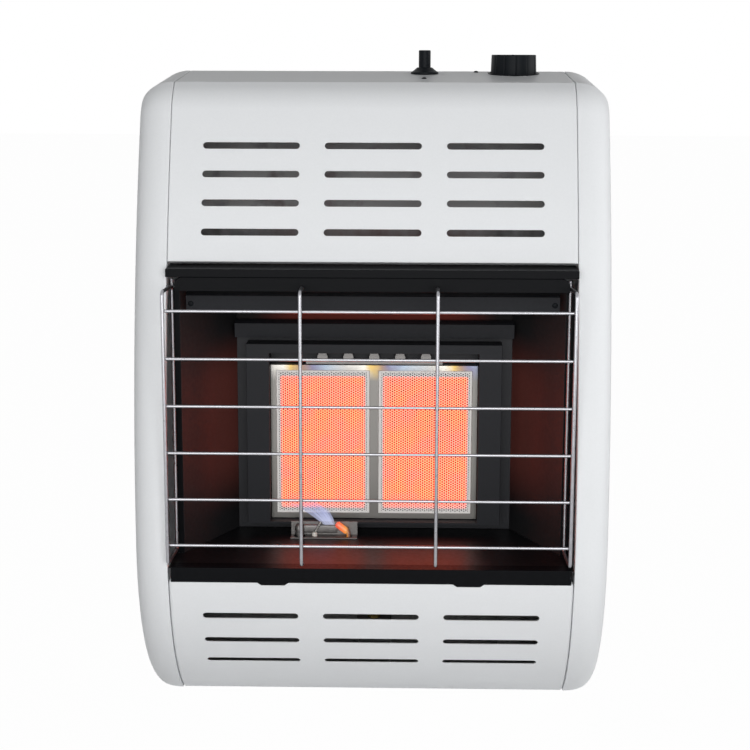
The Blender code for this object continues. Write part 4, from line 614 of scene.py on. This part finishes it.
def side_section(inset, low, high, steps=(26, 26, 12)):
    """(depth, height) points of the section, moved inwards by inset, between two heights."""
    lower = LOWER_RADIUS - inset
    upper = UPPER_RADIUS - inset
    points = []
    first = math.asin((low - BULGE) / (lower if low < BULGE else upper))
    if low < BULGE:
        last = math.asin((min(high, BULGE) - BULGE) / lower)
        for step in range(steps[0] + (high < BULGE)):
            points.append(on_arc(LOWER_RADIUS, lower, first + (last - first) * step / steps[0]))
        first = 0.0
    if high <= BULGE:
        return points
    # The roll starts as a straight line through the crease, steeper than the top by its angle.
    steep = TOP_SLOPE + CREASE_ANGLE
    bisector = TOP_SLOPE + CREASE_ANGLE / 2
    crease = Vector((BROW_DEPTH + CREASE_SETBACK * math.cos(TOP_SLOPE),
                     BROW_HEIGHT + CREASE_SETBACK * math.sin(TOP_SLOPE)))
    drop = inset / math.cos(CREASE_ANGLE / 2)
    crease -= Vector((-math.sin(bisector), math.cos(bisector))) * drop
    reach = (crease.y - BULGE) * math.cos(steep) + (UPPER_RADIUS - crease.x) * math.sin(steep)
    lean = math.asin(reach / upper) - steep
    corner = Vector(on_arc(UPPER_RADIUS, upper, lean))
    below = corner - Vector((math.sin(lean), math.cos(lean)))
    back = Vector((BODY_DEPTH, BACK_HEIGHT - inset / math.cos(TOP_SLOPE)))
    half_turn = (math.pi / 2 - lean - steep) / 2
    room = (crease - corner).length - CREASE_ROOM
    roll = min(ROLL_RADIUS - inset, room / math.tan(half_turn))
    bend = ease_corner(below, corner, crease, roll, steps[2])
    bend += ease_corner(corner, crease, back, max(CREASE_RADIUS - inset, LEAST_RADIUS), 3)
    last = math.asin((bend[0].y - BULGE) / upper)
    for step in range(steps[1]):
        points.append(on_arc(UPPER_RADIUS, upper, first + (last - first) * step / steps[1]))
    return points + [tuple(point) for point in bend] + [back]


print("the brow is", round(BROW_DEPTH * 1000, 1), "mm behind the bulge; the top slopes",
      round(math.degrees(TOP_SLOPE), 2), "degrees")

# %% [markdown]
# ## Side casings
# A casing is a deep-drawn cheek: the side section, drawn in along a quarter of an ellipse, 34 mm
# wide and 28 mm deep, until it is the flat side. A loft through offset sections gives exactly that,
# and a small round at the seam lets the edge catch the light as pressed steel does.

# %% Two cheeks, lofted through offset sections
CASING_ROUND = 0.028
CASING_RETURN = 0.009
SEAM_ROUND = 0.0011
SEAM_STEPS, CHEEK_STEPS = 4, 14
SAME_SPOT = 0.00005
SHEET = 0.0012


def loft(bm, rows, closed=False):
    """Faces between rows of points; a closed row also joins its last point to its first."""
    lines = [[bm.verts.new(point) for point in row] for row in rows]
    for low, high in zip(lines, lines[1:]):
        for corners in zip(low, low[1:] + low[:closed], high[1:] + high[:closed], high):
            bm.faces.new(corners)
    return lines


def give_thickness(piece):
    wall = piece.modifiers.new("sheet", "SOLIDIFY")
    wall.thickness = SHEET
    wall.offset = -1.0


stations = [(SEAM, CASING_RETURN)]
for turned in [math.pi / 2 * step / SEAM_STEPS for step in range(SEAM_STEPS + 1)]:
    reach = SEAM + SEAM_ROUND * (1 - math.cos(turned))
    stations.append((reach, SEAM_ROUND * (1 - math.sin(turned))))
for turned in [math.pi / 2 * step / CHEEK_STEPS for step in range(CHEEK_STEPS + 1)]:
    reach = SEAM + SEAM_ROUND + (HALF_WIDTH - SEAM - SEAM_ROUND) * math.sin(turned)
    stations.append((reach, CASING_ROUND * (1 - math.cos(turned))))
for name, side in (("left_side_casing", -1), ("right_side_casing", 1)):
    bm = bmesh.new()
    lines = loft(bm, [[behind_front(side * x, *point) for point in side_section(inset, 0.0, 1.0)]
                      for x, inset in stations])
    feet = [bm.verts.new(behind_front(side * x, BODY_DEPTH, 0)) for x in (HALF_WIDTH, SEAM)]
    bm.faces.new(lines[-1] + feet[:1])
    bm.faces.new([line[0] for line in lines] + feet)
    bm.faces.new([line[-1] for line in lines] + feet)
    bmesh.ops.remove_doubles(bm, verts=bm.verts, dist=SAME_SPOT)
    casing = make_piece(name + "_pressed", bm, white_enamel, stands_for=(name,))
    give_thickness(casing)
    even_shading(casing)
    print(name, "has", len(casing.data.polygons), "faces")

# %% [markdown]
# ## Front panels
# Both panels are folded from one sheet with returns all round, and punched with rows of round-ended
# slots. The fold at the edges is a bevel on the prism of the section; the punch is a Boolean with
# stadium prisms that enter square to the curved surface.

# %% The punch
SLOT_SIZE = (0.096, 0.007)
SLOT_SPACING = 0.1206
PUNCH_DEPTH = 0.016


def stadium(length, height, steps):
    radius = height / 2
    points = []
    for side, start in ((1, -math.pi / 2), (-1, math.pi / 2)):
        for step in range(steps + 1):
            angle = start + math.pi * step / steps
            middle = side * (length / 2 - radius)
            points.append((middle + radius * math.cos(angle), radius * math.sin(angle)))
    return points


def prism(bm, outline, height, place):
    base = bm.faces.new([bm.verts.new((x, y, 0)) for x, y in outline])
    grown = bmesh.ops.extrude_face_region(bm, geom=[base])["geom"]
    top = [vert for vert in grown if isinstance(vert, bmesh.types.BMVert)]
    bmesh.ops.translate(bm, verts=top, vec=(0, 0, height))
    bmesh.ops.transform(bm, matrix=place, verts=list(base.verts) + top)


def slot_punch(start, distances):
    """Three slots in each row; a row's distance is measured along the arc from its start."""
    radius = UPPER_RADIUS if start > BULGE else LOWER_RADIUS
    bm = bmesh.new()
    for distance in distances:
        lean = math.asin((start - BULGE) / radius) + distance / radius
        for column in (-1, 0, 1):
            spot = behind_front(column * SLOT_SPACING, *on_arc(radius, radius, lean))
            square_on = Matrix.Rotation(math.pi / 2 - lean, 4, "X")
            place = Matrix.Translation(spot) @ square_on
            place = place @ Matrix.Translation((0, 0, -PUNCH_DEPTH / 2))
            prism(bm, stadium(*SLOT_SIZE, 12), PUNCH_DEPTH, place)
    return bm


def punch(piece, *cutters):
    """Cuts with Booleans, and keeps the result as the piece's own mesh."""
    tools = []
    for cutter in cutters:
        tool = bpy.data.objects.new("punch", closed_mesh(cutter, "punch"))
        scene.collection.objects.link(tool)
        tools.append(tool)
        cut = piece.modifiers.new("punch", "BOOLEAN")
        cut.operation = "DIFFERENCE"
        cut.solver = "EXACT"
        cut.object = tool
    bpy.context.view_layer.update()
    cut_piece = piece.evaluated_get(bpy.context.evaluated_depsgraph_get())
    finished = bpy.data.meshes.new_from_object(cut_piece)
    piece.modifiers.clear()
    piece.data = smoothed(finished)
    for tool in tools:
        bpy.data.objects.remove(tool, do_unlink=True)


# %% A folded panel
PANEL_RETURN = 0.012
FOLD_ANGLE = math.radians(60)


def inward(path, distance):
    moved = []
    for index, point in enumerate(path):
        before = Vector(path[max(index - 1, 0)])
        after = Vector(path[min(index + 1, len(path) - 1)])
        run = (after - before).normalized()
        moved.append((point[0] + run.y * distance, point[1] - run.x * distance))
    return moved


def spot_of(point):
    return round(point[0], 6), round(point[1], 6)


def folded_panel(name, outer, edge_round, corner_round=0):
    """A prism of the section, open at its back, with its folds and its last corner rounded."""
    inner = inward(outer, PANEL_RETURN)
    if abs(outer[-1][0] - BODY_DEPTH) < 1e-6:
        inner[-1] = (BODY_DEPTH, outer[-1][1] - PANEL_RETURN)
    bm = bmesh.new()
    from_side = Matrix(((0, 0, 1, -PANEL_HALF), (1, 0, 0, 0), (0, 1, 0, 0), (0, 0, 0, 1)))
    prism(bm, outer + inner[::-1], 2 * PANEL_HALF, from_side)
    bmesh.ops.recalc_face_normals(bm, faces=bm.faces)
    rounding = {"profile": 0.5, "affect": "EDGES"}
    if corner_round:
        ends = {spot_of(outer[-1]), spot_of(inner[-1])}
        corners = [edge for edge in bm.edges
                   if {spot_of(vert.co.yz) for vert in edge.verts} == ends]
        bmesh.ops.bevel(bm, geom=corners, offset=corner_round, segments=6, **rounding)
    back = {spot_of(point) for point in inner}
    hidden = [face for face in bm.faces if all(spot_of(vert.co.yz) in back for vert in face.verts)]
    bmesh.ops.delete(bm, geom=hidden, context="FACES")
    folds = [edge for edge in bm.edges
             if len(edge.link_faces) == 2 and edge.calc_face_angle(0.0) > FOLD_ANGLE
             and not any(spot_of(vert.co.yz) in back for vert in edge.verts)]
    bmesh.ops.bevel(bm, geom=folds, offset=edge_round, segments=5, **rounding)
    bmesh.ops.translate(bm, verts=bm.verts, vec=(0, FRONT, 0))
    panel = make_piece(name + "_folded", bm, white_enamel, stands_for=(name,))
    give_thickness(panel)
    return panel


def finish_panel(panel, *cutters):
    punch(panel, *cutters)
    soften(panel, 0.00025, 2, 55)
    even_shading(panel)
    print(panel.name, "has", len(panel.data.polygons), "faces")


# %% The upper panel, with twelve slots and two holes for the controls
UPPER_FOOT = 0.4628
UPPER_SLOTS = [0.0293 * row for row in (1, 2, 3, 4)]
CONTROL_DEPTH = 0.214
KNOB_X, KNOB_HOLE = 0.145, 0.0254
IGNITER_X, IGNITER_HOLE = 0.051, 0.0080
SLOPE_RISE = math.tan(TOP_SLOPE)


def top_height(depth):
    return BROW_HEIGHT + (depth - BROW_DEPTH) * SLOPE_RISE


def control_place(x):
    """The place of an upright control on the sloping top."""
    return Matrix.Translation(behind_front(x, CONTROL_DEPTH, top_height(CONTROL_DEPTH)))


holes = bmesh.new()
for x, radius in ((KNOB_X, KNOB_HOLE), (IGNITER_X, IGNITER_HOLE)):
    bmesh.ops.create_cone(holes, cap_ends=True, segments=48, radius1=radius, radius2=radius,
                          depth=0.012, matrix=control_place(x))
upper_section = side_section(0, UPPER_FOOT, 1.0, (0, 22, 12))
upper_panel = folded_panel("upper_front_panel", upper_section, 0.0012)
finish_panel(upper_panel, slot_punch(UPPER_FOOT, UPPER_SLOTS), holes)

# %% The lower panel, with nine slots and a rolled lip
LOWER_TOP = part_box("lower_front_panel")[1].z
LOWER_SLOTS = [-(0.0405 + 0.0325 * row) for row in (0, 1, 2)]
lower_section = side_section(0, 0.0, LOWER_TOP, (26, 0, 0))
lower_panel = folded_panel("lower_front_panel", lower_section, 0.0035, 0.004)
finish_panel(lower_panel, slot_punch(LOWER_TOP, LOWER_SLOTS))

# %% [markdown]
# ## Hood, ledge and firebox
# These are plain folded sheets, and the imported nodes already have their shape. Each gets rounded
# folds, so that every lip draws the thin bright line that glossy enamel shows along an edge.

# %% Black sheets with rounded folds
for node in ("hood_deflector", "hood_plate", "front_ledge"):
    dress(node, hood_enamel, 0.0005, 3)
for node in ("firebox_rear_wall", "firebox_front_louvre", "firebox_rear_louvre"):
    dress(node, satin_enamel)
for node in ("firebox_left_reflector", "firebox_right_reflector"):
    reflector = dress(node, wall_enamel)
    # The flanges that face the room take the darker hood enamel and no painted glow: a painted shade
    # on the same sheet, as dark as the hood.
    reflector.data.materials.append(hood_enamel)
    for face in reflector.data.polygons:
        face.material_index = int(abs(face.normal.y) > 0.9)
dress("firebox_floor", firebox_enamel)
dress("heat_baffle", darkened_baffle_steel)
dress("burner_surround", stove_paint, 0.0004)
print("eleven sheets with rounded folds")

# %% [markdown]
# ## Wire guard
# The guard is 3.6 mm wire, bent to a radius of 5 mm, with 3 mm crossbars resistance-welded behind
# it. A wire is a path with a round bevel, which follows any bend without a seam. Each weld is a
# small flattened bead where two wires meet.

# %% Bending wire
def wire(name, points, radius, stands_for=(), material=chrome, closed=False):
    path = bpy.data.curves.new(name, "CURVE")
    path.dimensions = "3D"
    path.bevel_depth = radius
    path.bevel_resolution = 5
    path.use_fill_caps = True
    line = path.splines.new("POLY")
    line.points.add(len(points) - 1)
    for target, point in zip(line.points, points):
        target.co = (*point, 1.0)
    line.use_cyclic_u = closed
    make_piece(name, path, material, stands_for=stands_for)


def eased(points, radius, closed=False, steps=8):
    """The path through these points, with every corner eased to one radius."""
    points = [Vector(point) for point in points]
    if closed:
        corners = zip([points[-1]] + points[:-1], points, points[1:] + points[:1])
        return [spot for corner in corners for spot in ease_corner(*corner, radius, steps)]
    path = [points[0]]
    for corner in zip(points, points[1:], points[2:]):
        path += ease_corner(*corner, radius, steps)
    return path + [points[-1]]


# %% Uprights, side frames and crossbars
UPRIGHT = 0.0018
CROSSBAR = 0.0015
WELD_GAP = 0.0003
WELD_REACH = 0.0016
GUARD_BEND = 0.005
GUARD_SHIFT = -0.0019
GUARD_HALF = 0.1973
GUARD_FRONT, GUARD_REAR = -0.0115, 0.0520
GUARD_FOOT, GUARD_TOP = 0.1705, 0.4400
REAR_FOOT, REAR_TOP = 0.1655, 0.4365
HOOK_FOOT, HOOK_TOP = 0.4360, 0.4440
UPPER_END, LOWER_END, LOWER_DROP = 0.030, 0.015, 0.004
CROSSBAR_LOWEST, CROSSBAR_PITCH = 0.1881, 0.04655


def guard_path(share, *spots):
    """Points behind the front line, at a share of the guard's half width."""
    return [behind_front(share * GUARD_HALF + GUARD_SHIFT, *spot) for spot in spots]


for word, side in (("left", -1), ("right", 1)):
    loop = guard_path(side, (GUARD_FRONT, GUARD_FOOT), (GUARD_FRONT, GUARD_TOP),
                      (GUARD_REAR, REAR_TOP), (GUARD_REAR, REAR_FOOT))
    wire(f"guard_{word}_side_wire", eased(loop, GUARD_BEND, closed=True), UPRIGHT,
         (f"guard_{word}_frame",), closed=True)
    hook = guard_path(side, (GUARD_REAR, HOOK_FOOT), (GUARD_REAR, HOOK_TOP))
    wire(f"guard_{word}_hook_end", hook, UPRIGHT)
    upright = guard_path(
        side / 3, (GUARD_FRONT + UPPER_END, GUARD_TOP), (GUARD_FRONT, GUARD_TOP),
        (GUARD_FRONT, GUARD_FOOT), (GUARD_FRONT + LOWER_END, GUARD_FOOT - LOWER_DROP))
    wire(f"guard_{word}_upright_wire", eased(upright, GUARD_BEND), UPRIGHT,
         (f"guard_{word}_upright",))
bar_depth = GUARD_FRONT + UPRIGHT + WELD_GAP + CROSSBAR
welds = []
for bar in range(6):
    height = CROSSBAR_LOWEST + bar * CROSSBAR_PITCH
    ends = guard_path(-1, (bar_depth, height)) + guard_path(1, (bar_depth, height))
    wire(f"guard_crossbar_wire_{bar + 1}", ends, CROSSBAR, (f"guard_crossbar_{bar + 1}",))
    for share in (-1, -1 / 3, 1 / 3, 1):
        welds += guard_path(share, (bar_depth - WELD_REACH, height))

# %% Twenty-four weld beads
BEAD_HALF_SIZES = (0.0019, 0.0013, 0.0017, 1.0)
bm = bmesh.new()
for place in welds:
    squash = Matrix.Translation(place) @ Matrix.Diagonal(BEAD_HALF_SIZES)
    bmesh.ops.create_icosphere(bm, subdivisions=2, radius=1.0, matrix=squash)
make_piece("guard_weld_beads", bm, chrome)
print(len(welds), "welds on the guard")

# %% [markdown]
# ## The burner
# A stainless tray holds the two plaques, and a clamp strip with five tabs stands on its top edge.
# The plaques are tiles with their own centre as origin, because the port pattern is measured from
# there.

# %% Tray, clamp strip and tiles
dress("burner_frame", tinted_stainless)
dress("plaque_clamp_strip", sooted_stainless)
for node in ("ceramic_plaque_left", "ceramic_plaque_right"):
    low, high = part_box(node)
    bm = bmesh.new()
    bmesh.ops.create_cube(bm, size=1.0, matrix=Matrix.Diagonal((*(high - low), 1.0)))
    bmesh.ops.bevel(bm, geom=list(bm.edges), offset=0.0008, segments=3, profile=0.5, affect="EDGES")
    centre = (low + high) / 2
    tile = make_piece(node + "_tile", bm, plaque_ceramic, stands_for=(node,), place=centre)
    even_shading(tile)
    print(tile.name, "is", [round(size * 1000, 1) for size in high - low], "mm")

# %% [markdown]
# ## Turned pieces
# Knobs, nozzles and screws are round about one axis, so each is drawn as half a section and turned.
# The same helper serves them all; a profile that starts and ends on the axis gives a solid, one
# that doesn't gives a ring.

# %% A lathe
def lathe(bm, profile, steps, place=Matrix(), depth_at=None):
    """Turns (radius, height) points about Z; depth_at can take a little off the radius."""
    rings = []
    for radius, height in profile:
        if radius < 1e-6:
            rings.append([bm.verts.new(place @ Vector((0, 0, height)))] * steps)
            continue
        ring = []
        for angle in [2 * math.pi * step / steps for step in range(steps)]:
            reach = radius - (depth_at(angle, radius) if depth_at else 0)
            spot = Vector((reach * math.cos(angle), reach * math.sin(angle), height))
            ring.append(bm.verts.new(place @ spot))
        rings.append(ring)
    for low, high in zip(rings, rings[1:] + rings[:1]):
        for corners in zip(low, low[1:] + low[:1], high[1:] + high[:1], high):
            corners = list(dict.fromkeys(corners))
            if len(corners) > 2:
                bm.faces.new(corners)


def turned_piece(name, profile, steps, place, material, *ride, depth_at=None):
    bm = bmesh.new()
    lathe(bm, profile, steps, place, depth_at)
    return make_piece(name, bm, material, *ride)


def rounded(profile, radius, steps=4):
    """The same profile with its inner corners eased."""
    flat = [Vector((x, y, 0)) for x, y in profile]
    path = [profile[0]]
    for before, corner, after in zip(flat, flat[1:], flat[2:]):
        room = min((before - corner).length, (after - corner).length) * 0.45
        bend = (before - corner).angle(after - corner)
        ease = min(radius, room * math.tan(bend / 2))
        straight = math.pi - bend < 0.1
        arc = [corner] if straight else ease_corner(before, corner, after, ease, steps)
        path += [(spot.x, spot.y) for spot in arc]
    return path + [profile[-1]]


# %% [markdown]
# ## The pilot
# A small flame on the firebox floor lights the burner and proves that the air is good. A bracket
# carries a nozzle, a flat mixing tube, a spark electrode in a white insulator and a thermocouple,
# whose tip glows. The flame itself is five thin tongues of a half-clear veil that overlap,
# brightest at the root.

# %% Bracket, nozzle and mixing tube
PILOT_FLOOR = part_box("firebox_floor")[1].z + 0.0003
NOZZLE_X, PILOT_Y, _ = sum(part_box("pilot_burner"), Vector()) / 2
ELECTRODE_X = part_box("igniter_electrode")[0].x + 0.0011
COUPLE_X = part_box("thermocouple")[1].x - 0.0021
dress("pilot_bracket", sooted_stainless)

nozzle = [(0.0, 0.0135), (0.0012, 0.0135), (0.0012, 0.0125), (0.0030, 0.0125), (0.0030, 0.0135),
          (0.0036, 0.0130), (0.0048, 0.0105), (0.0048, 0.0075), (0.0041, 0.0070), (0.0041, 0.0060),
          (0.0048, 0.0055), (0.0048, 0.0020), (0.0034, 0.0020), (0.0034, -0.0080), (0.0, -0.0080)]
turned_piece("pilot_nozzle", nozzle, 36, Matrix.Translation((NOZZLE_X, PILOT_Y, PILOT_FLOOR)),
             sooted_stainless, "cabinet", ("pilot_burner",))

bm = bmesh.new()
place = Matrix.Translation((NOZZLE_X + 0.0046, PILOT_Y + 0.0034, PILOT_FLOOR + 0.0078))
place = place @ Matrix.Rotation(math.pi / 2, 4, "Y")
prism(bm, stadium(0.0088, 0.0034, 8), 0.0350, place)
soften(make_piece("pilot_mixing_tube", bm, sooted_stainless), 0.0004)

# %% Spark electrode, insulator and thermocouple, a bent rod with a thicker, glowing sleeve
rod = [(ELECTRODE_X, PILOT_Y, PILOT_FLOOR - 0.0080), (ELECTRODE_X, PILOT_Y, PILOT_FLOOR + 0.0040),
       (ELECTRODE_X + 0.0070, PILOT_Y, PILOT_FLOOR + 0.0165)]
wire("spark_electrode_rod", eased(rod, 0.002), 0.0011, ("igniter_electrode",), stainless)
insulator = rounded([(0.0012, 0.0050), (0.0026, 0.0050), (0.0029, 0.0016), (0.0029, -0.0060),
                     (0.0012, -0.0060)], 0.0006)
turned_piece("electrode_insulator", insulator, 32,
             Matrix.Translation((ELECTRODE_X, PILOT_Y, PILOT_FLOOR)), alumina)

bend = Vector((COUPLE_X, PILOT_Y, PILOT_FLOOR + 0.0045))
tip = Vector((COUPLE_X - 0.0130, PILOT_Y, PILOT_FLOOR + 0.0145))
rod = eased([(COUPLE_X, PILOT_Y, PILOT_FLOOR - 0.0080), bend, tip], 0.003)
wire("thermocouple_rod", rod, 0.0021, ("thermocouple",), hot_steel)
run = tip - bend
sleeve = rounded([(0.0022, 0.0022), (0.0031, 0.0022), (0.0034, 0.0040),
                  (0.0034, run.length - 0.0010), (0.0022, run.length - 0.0010)], 0.0007)
place = Matrix.Translation(bend) @ run.to_track_quat("Z", "Y").to_matrix().to_4x4()
turned_piece("thermocouple_sleeve", sleeve, 40, place, hot_steel)
print("the pilot stands", round(PILOT_FLOOR * 1000, 1), "mm up")

# %% Five tongues of flame
TONGUE_TIPS = ((-0.0890, 0.0120, 0.1935), (-0.0830, 0.0130, 0.1980), (-0.0750, 0.0130, 0.1990),
               (-0.0670, 0.0120, 0.1975), (-0.0590, 0.0110, 0.1920))
TONGUE_BOW = Vector((-0.0010, 0.0, 0.0050))
TONGUE_HALF, TONGUE_FLATNESS = 0.0046, 0.45
TONGUE_STEPS, TONGUE_SIDES = 12, 16
FLAME_ROOT, ROOT_PITCH = -0.0480, 0.0018

bm = bmesh.new()
for tongue, tip in enumerate(TONGUE_TIPS):
    root_x = FLAME_ROOT + ROOT_PITCH * tongue
    root = Vector((root_x, PILOT_Y + 0.0040, PILOT_FLOOR + 0.0105))
    reach = Vector(tip) - root
    spin = reach.to_track_quat("Z", "Y").to_matrix()
    rows = []
    for step in range(TONGUE_STEPS + 1):
        share = step / TONGUE_STEPS
        centre = root + reach * share + TONGUE_BOW * math.sin(math.pi * share)
        width = 0.0
        if 0 < step < TONGUE_STEPS:
            width = TONGUE_HALF * math.sin(math.pi * share**0.7) ** 0.8
        row = []
        for angle in [2 * math.pi * side / TONGUE_SIDES for side in range(TONGUE_SIDES)]:
            across, deep = math.cos(angle), TONGUE_FLATNESS * math.sin(angle)
            row.append(centre + spin @ Vector((width * across, width * deep, 0)))
        rows.append(row)
    loft(bm, rows, closed=True)
bmesh.ops.remove_doubles(bm, verts=bm.verts, dist=0.000001)
make_piece("pilot_flame", bm, burning_gas, smooth=80)
print(len(TONGUE_TIPS), "tongues of flame")

# %% [markdown]
# ## Knob and igniter
# The knob is moulded phenolic with twelve narrow flutes and turns in a thin ring. The igniter is a
# long button in a flared collar. Both stand upright on a top that slopes, so the foot of each ring
# is cut along the slope while its axis stays upright.

# %% The knob, its ring and the pointer
SEAT = 0.0003
KNOB_RADIUS = 0.0242
KNOB_TOP = 0.0200
KNOB_CEILING = KNOB_TOP - 0.003
KNOB_FLOOR = -0.0030
FLUTES = 12
FLUTE_START = math.radians(18.5)
FLUTE_HALF = 0.0008
FLUTE_DEPTH = 0.0010


def flute_depth(angle, radius):
    """How much a flute takes off the knob's side at an angle."""
    if radius < 0.0226:
        return 0.0
    pitch = 2 * math.pi / FLUTES
    off = (angle - FLUTE_START + pitch / 2) % pitch
    off = min(off, pitch - off) * KNOB_RADIUS
    return FLUTE_DEPTH * max(0.0, 1 - off / FLUTE_HALF)


def sloped_place(x):
    """A control's place, sheared so that what is level in it follows the sloping top."""
    shear = Matrix()
    shear[2][1] = SLOPE_RISE
    return control_place(x) @ shear


knob_side = rounded(
    [(0.0, KNOB_TOP), (0.0234, KNOB_TOP), (KNOB_RADIUS, KNOB_FLOOR), (0.0220, KNOB_FLOOR),
     (0.0212, KNOB_CEILING), (0.0078, KNOB_CEILING), (0.0073, KNOB_FLOOR), (0.0043, KNOB_FLOOR),
     (0.0043, 0.0103), (0.0, 0.0103)], 0.0009)
turned_piece("knob_moulding", knob_side, 360, control_place(KNOB_X), phenolic, "knob",
             ("control_knob",), depth_at=flute_depth)
bm = bmesh.new()
place = control_place(KNOB_X) @ Matrix.Translation((0, 0.0160, KNOB_TOP - 0.0004))
prism(bm, stadium(0.0092, 0.0014, 6), 0.0006, place @ Matrix.Rotation(math.pi / 2, 4, "Z"))
make_piece("knob_pointer", bm, white_enamel, "knob")
ring = rounded([(0.0260, SEAT), (0.0248, SEAT), (0.0248, 0.0013), (0.0272, 0.0013),
                (0.0272, SEAT), (0.0260, SEAT)], 0.0004)
turned_piece("knob_ring", ring[:-1], 120, sloped_place(KNOB_X), phenolic, "cabinet",
             ("control_bezel",))
print(FLUTES, "flutes on a knob", round(2000 * KNOB_RADIUS, 1), "mm across")

# %% Igniter collar and button
BUTTON_RADIUS = 0.0063
BUTTON_TOP = 0.0245
BUTTON_FOOT = -0.020
CUT_LATER = -1.0
flare = [(0.0069, CUT_LATER), (0.0069, 0.0060), (0.0073, 0.0066), (0.0079, 0.0065),
         (0.0088, 0.0058), (0.0104, 0.0044), (0.0124, 0.0029), (0.0139, 0.0020), (0.0145, 0.0017),
         (0.0147, 0.0013), (0.0147, CUT_LATER)]
bm = bmesh.new()
lathe(bm, flare, 96)
for vert in bm.verts:
    if vert.co.z == CUT_LATER:
        vert.co.z = vert.co.y * SLOPE_RISE + SEAT
bmesh.ops.transform(bm, matrix=control_place(IGNITER_X), verts=bm.verts)
make_piece("igniter_flared_collar", bm, phenolic, stands_for=("igniter_collar",))
barrel = rounded([(0.0, BUTTON_TOP), (BUTTON_RADIUS, BUTTON_TOP), (BUTTON_RADIUS, BUTTON_FOOT),
                  (0.0, BUTTON_FOOT)], 0.0010)
turned_piece("igniter_push_button", barrel, 64, control_place(IGNITER_X), phenolic,
             "igniter_button", ("igniter_button",))

# %% Shallow rings pressed into the top round both controls
bm = bmesh.new()
for x, radius in ((KNOB_X, 0.0300), (IGNITER_X, 0.0222)):
    swell = [(radius - 0.0014, -0.0002), (radius - 0.0007, 0.0002), (radius + 0.0007, 0.0002),
             (radius + 0.0014, -0.0002)]
    lathe(bm, swell, 120, sloped_place(x))
make_piece("pressed_control_rings", bm, white_enamel, smooth=60)
print("the button stands", round(BUTTON_TOP * 1000, 1), "mm above the top")

# %% [markdown]
# ## Screws
# Pan-head screws with a cross recess hold the louvre, the valve bracket and the rear panel. Each
# head is turned, and the crosses are cut into all heads at once, one bar after the other, because a
# Boolean can't use a cutter that crosses itself.

# %% Pan heads with a cross recess
CROSS_TURN = 0.4


def pan_heads(name, radius, material, axis_turn, spots):
    heads = bmesh.new()
    bars = [bmesh.new(), bmesh.new()]
    dome = [(0.0, 0.62 * radius), (0.45 * radius, 0.60 * radius), (0.80 * radius, 0.46 * radius),
            (0.97 * radius, 0.22 * radius), (radius, -0.0001), (0.0, -0.0001)]
    for spot in spots:
        place = Matrix.Translation(spot) @ Matrix.Rotation(axis_turn, 4, "X")
        lathe(heads, dome, 28, place)
        for bar, turned in zip(bars, (CROSS_TURN, CROSS_TURN + math.pi / 2)):
            low = Matrix.Rotation(turned, 4, "Z") @ Matrix.Translation((0, 0, 0.28 * radius))
            prism(bar, stadium(1.1 * radius, 0.22 * radius, 3), 0.5 * radius, place @ low)
    screws = make_piece(name, heads, material)
    punch(screws, *bars)
    print(len(spots), name, "with", len(screws.data.polygons), "faces")


louvre_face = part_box("firebox_front_louvre")[0].y + 0.0011
pan_heads("louvre_screws", 0.0028, phenolic, math.pi / 2,
          [(side * 0.1810, louvre_face, 0.4185) for side in (-1, 1)])
pan_heads("top_screws", 0.0025, phenolic, TOP_SLOPE,
          [behind_front(x, d, top_height(d)) for x, d in ((0.0500, 0.1565), (0.1061, 0.2332))])
rear_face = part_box("rear_panel")[1].y
pan_heads("rear_panel_screws", 0.0035, zinc_plate, -math.pi / 2,
          [(side * 0.190, rear_face, z) for side in (-1, 1) for z in (0.030, 0.235, 0.440, 0.612)])

# %% [markdown]
# ## Everything else in the cabinet
# The rear panel and the base pan get rounded folds. The valve, pipes and fittings keep their packed
# shape and take their finish. They show through the slots, from behind and from below.

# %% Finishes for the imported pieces
dress("rear_panel", galvanised)
dress("base_pan", galvanised)
for material, names in (
    (galvanised, ("orifice_bracket", "regulator_stand", "valve_bracket")),
    (aluminised, ("burner_plenum", "venturi_tube", "burner_tube", "pilot_tube", "inlet_tube")),
    (stainless, ("valve_stem",)),
    (brass, ("orifice_holder", "gas_inlet_fitting", "valve_drive_collar")),
    (die_cast, ("gas_regulator", "gas_valve")),
    (copper, ("thermocouple_lead",)),
    (sleeving, ("igniter_wire",)),
    (phenolic, ("igniter_body",)),
):
    for node in names:
        nodes[node].data.materials.clear()
        nodes[node].data.materials.append(material)
    print(material.name, "on", ", ".join(names))
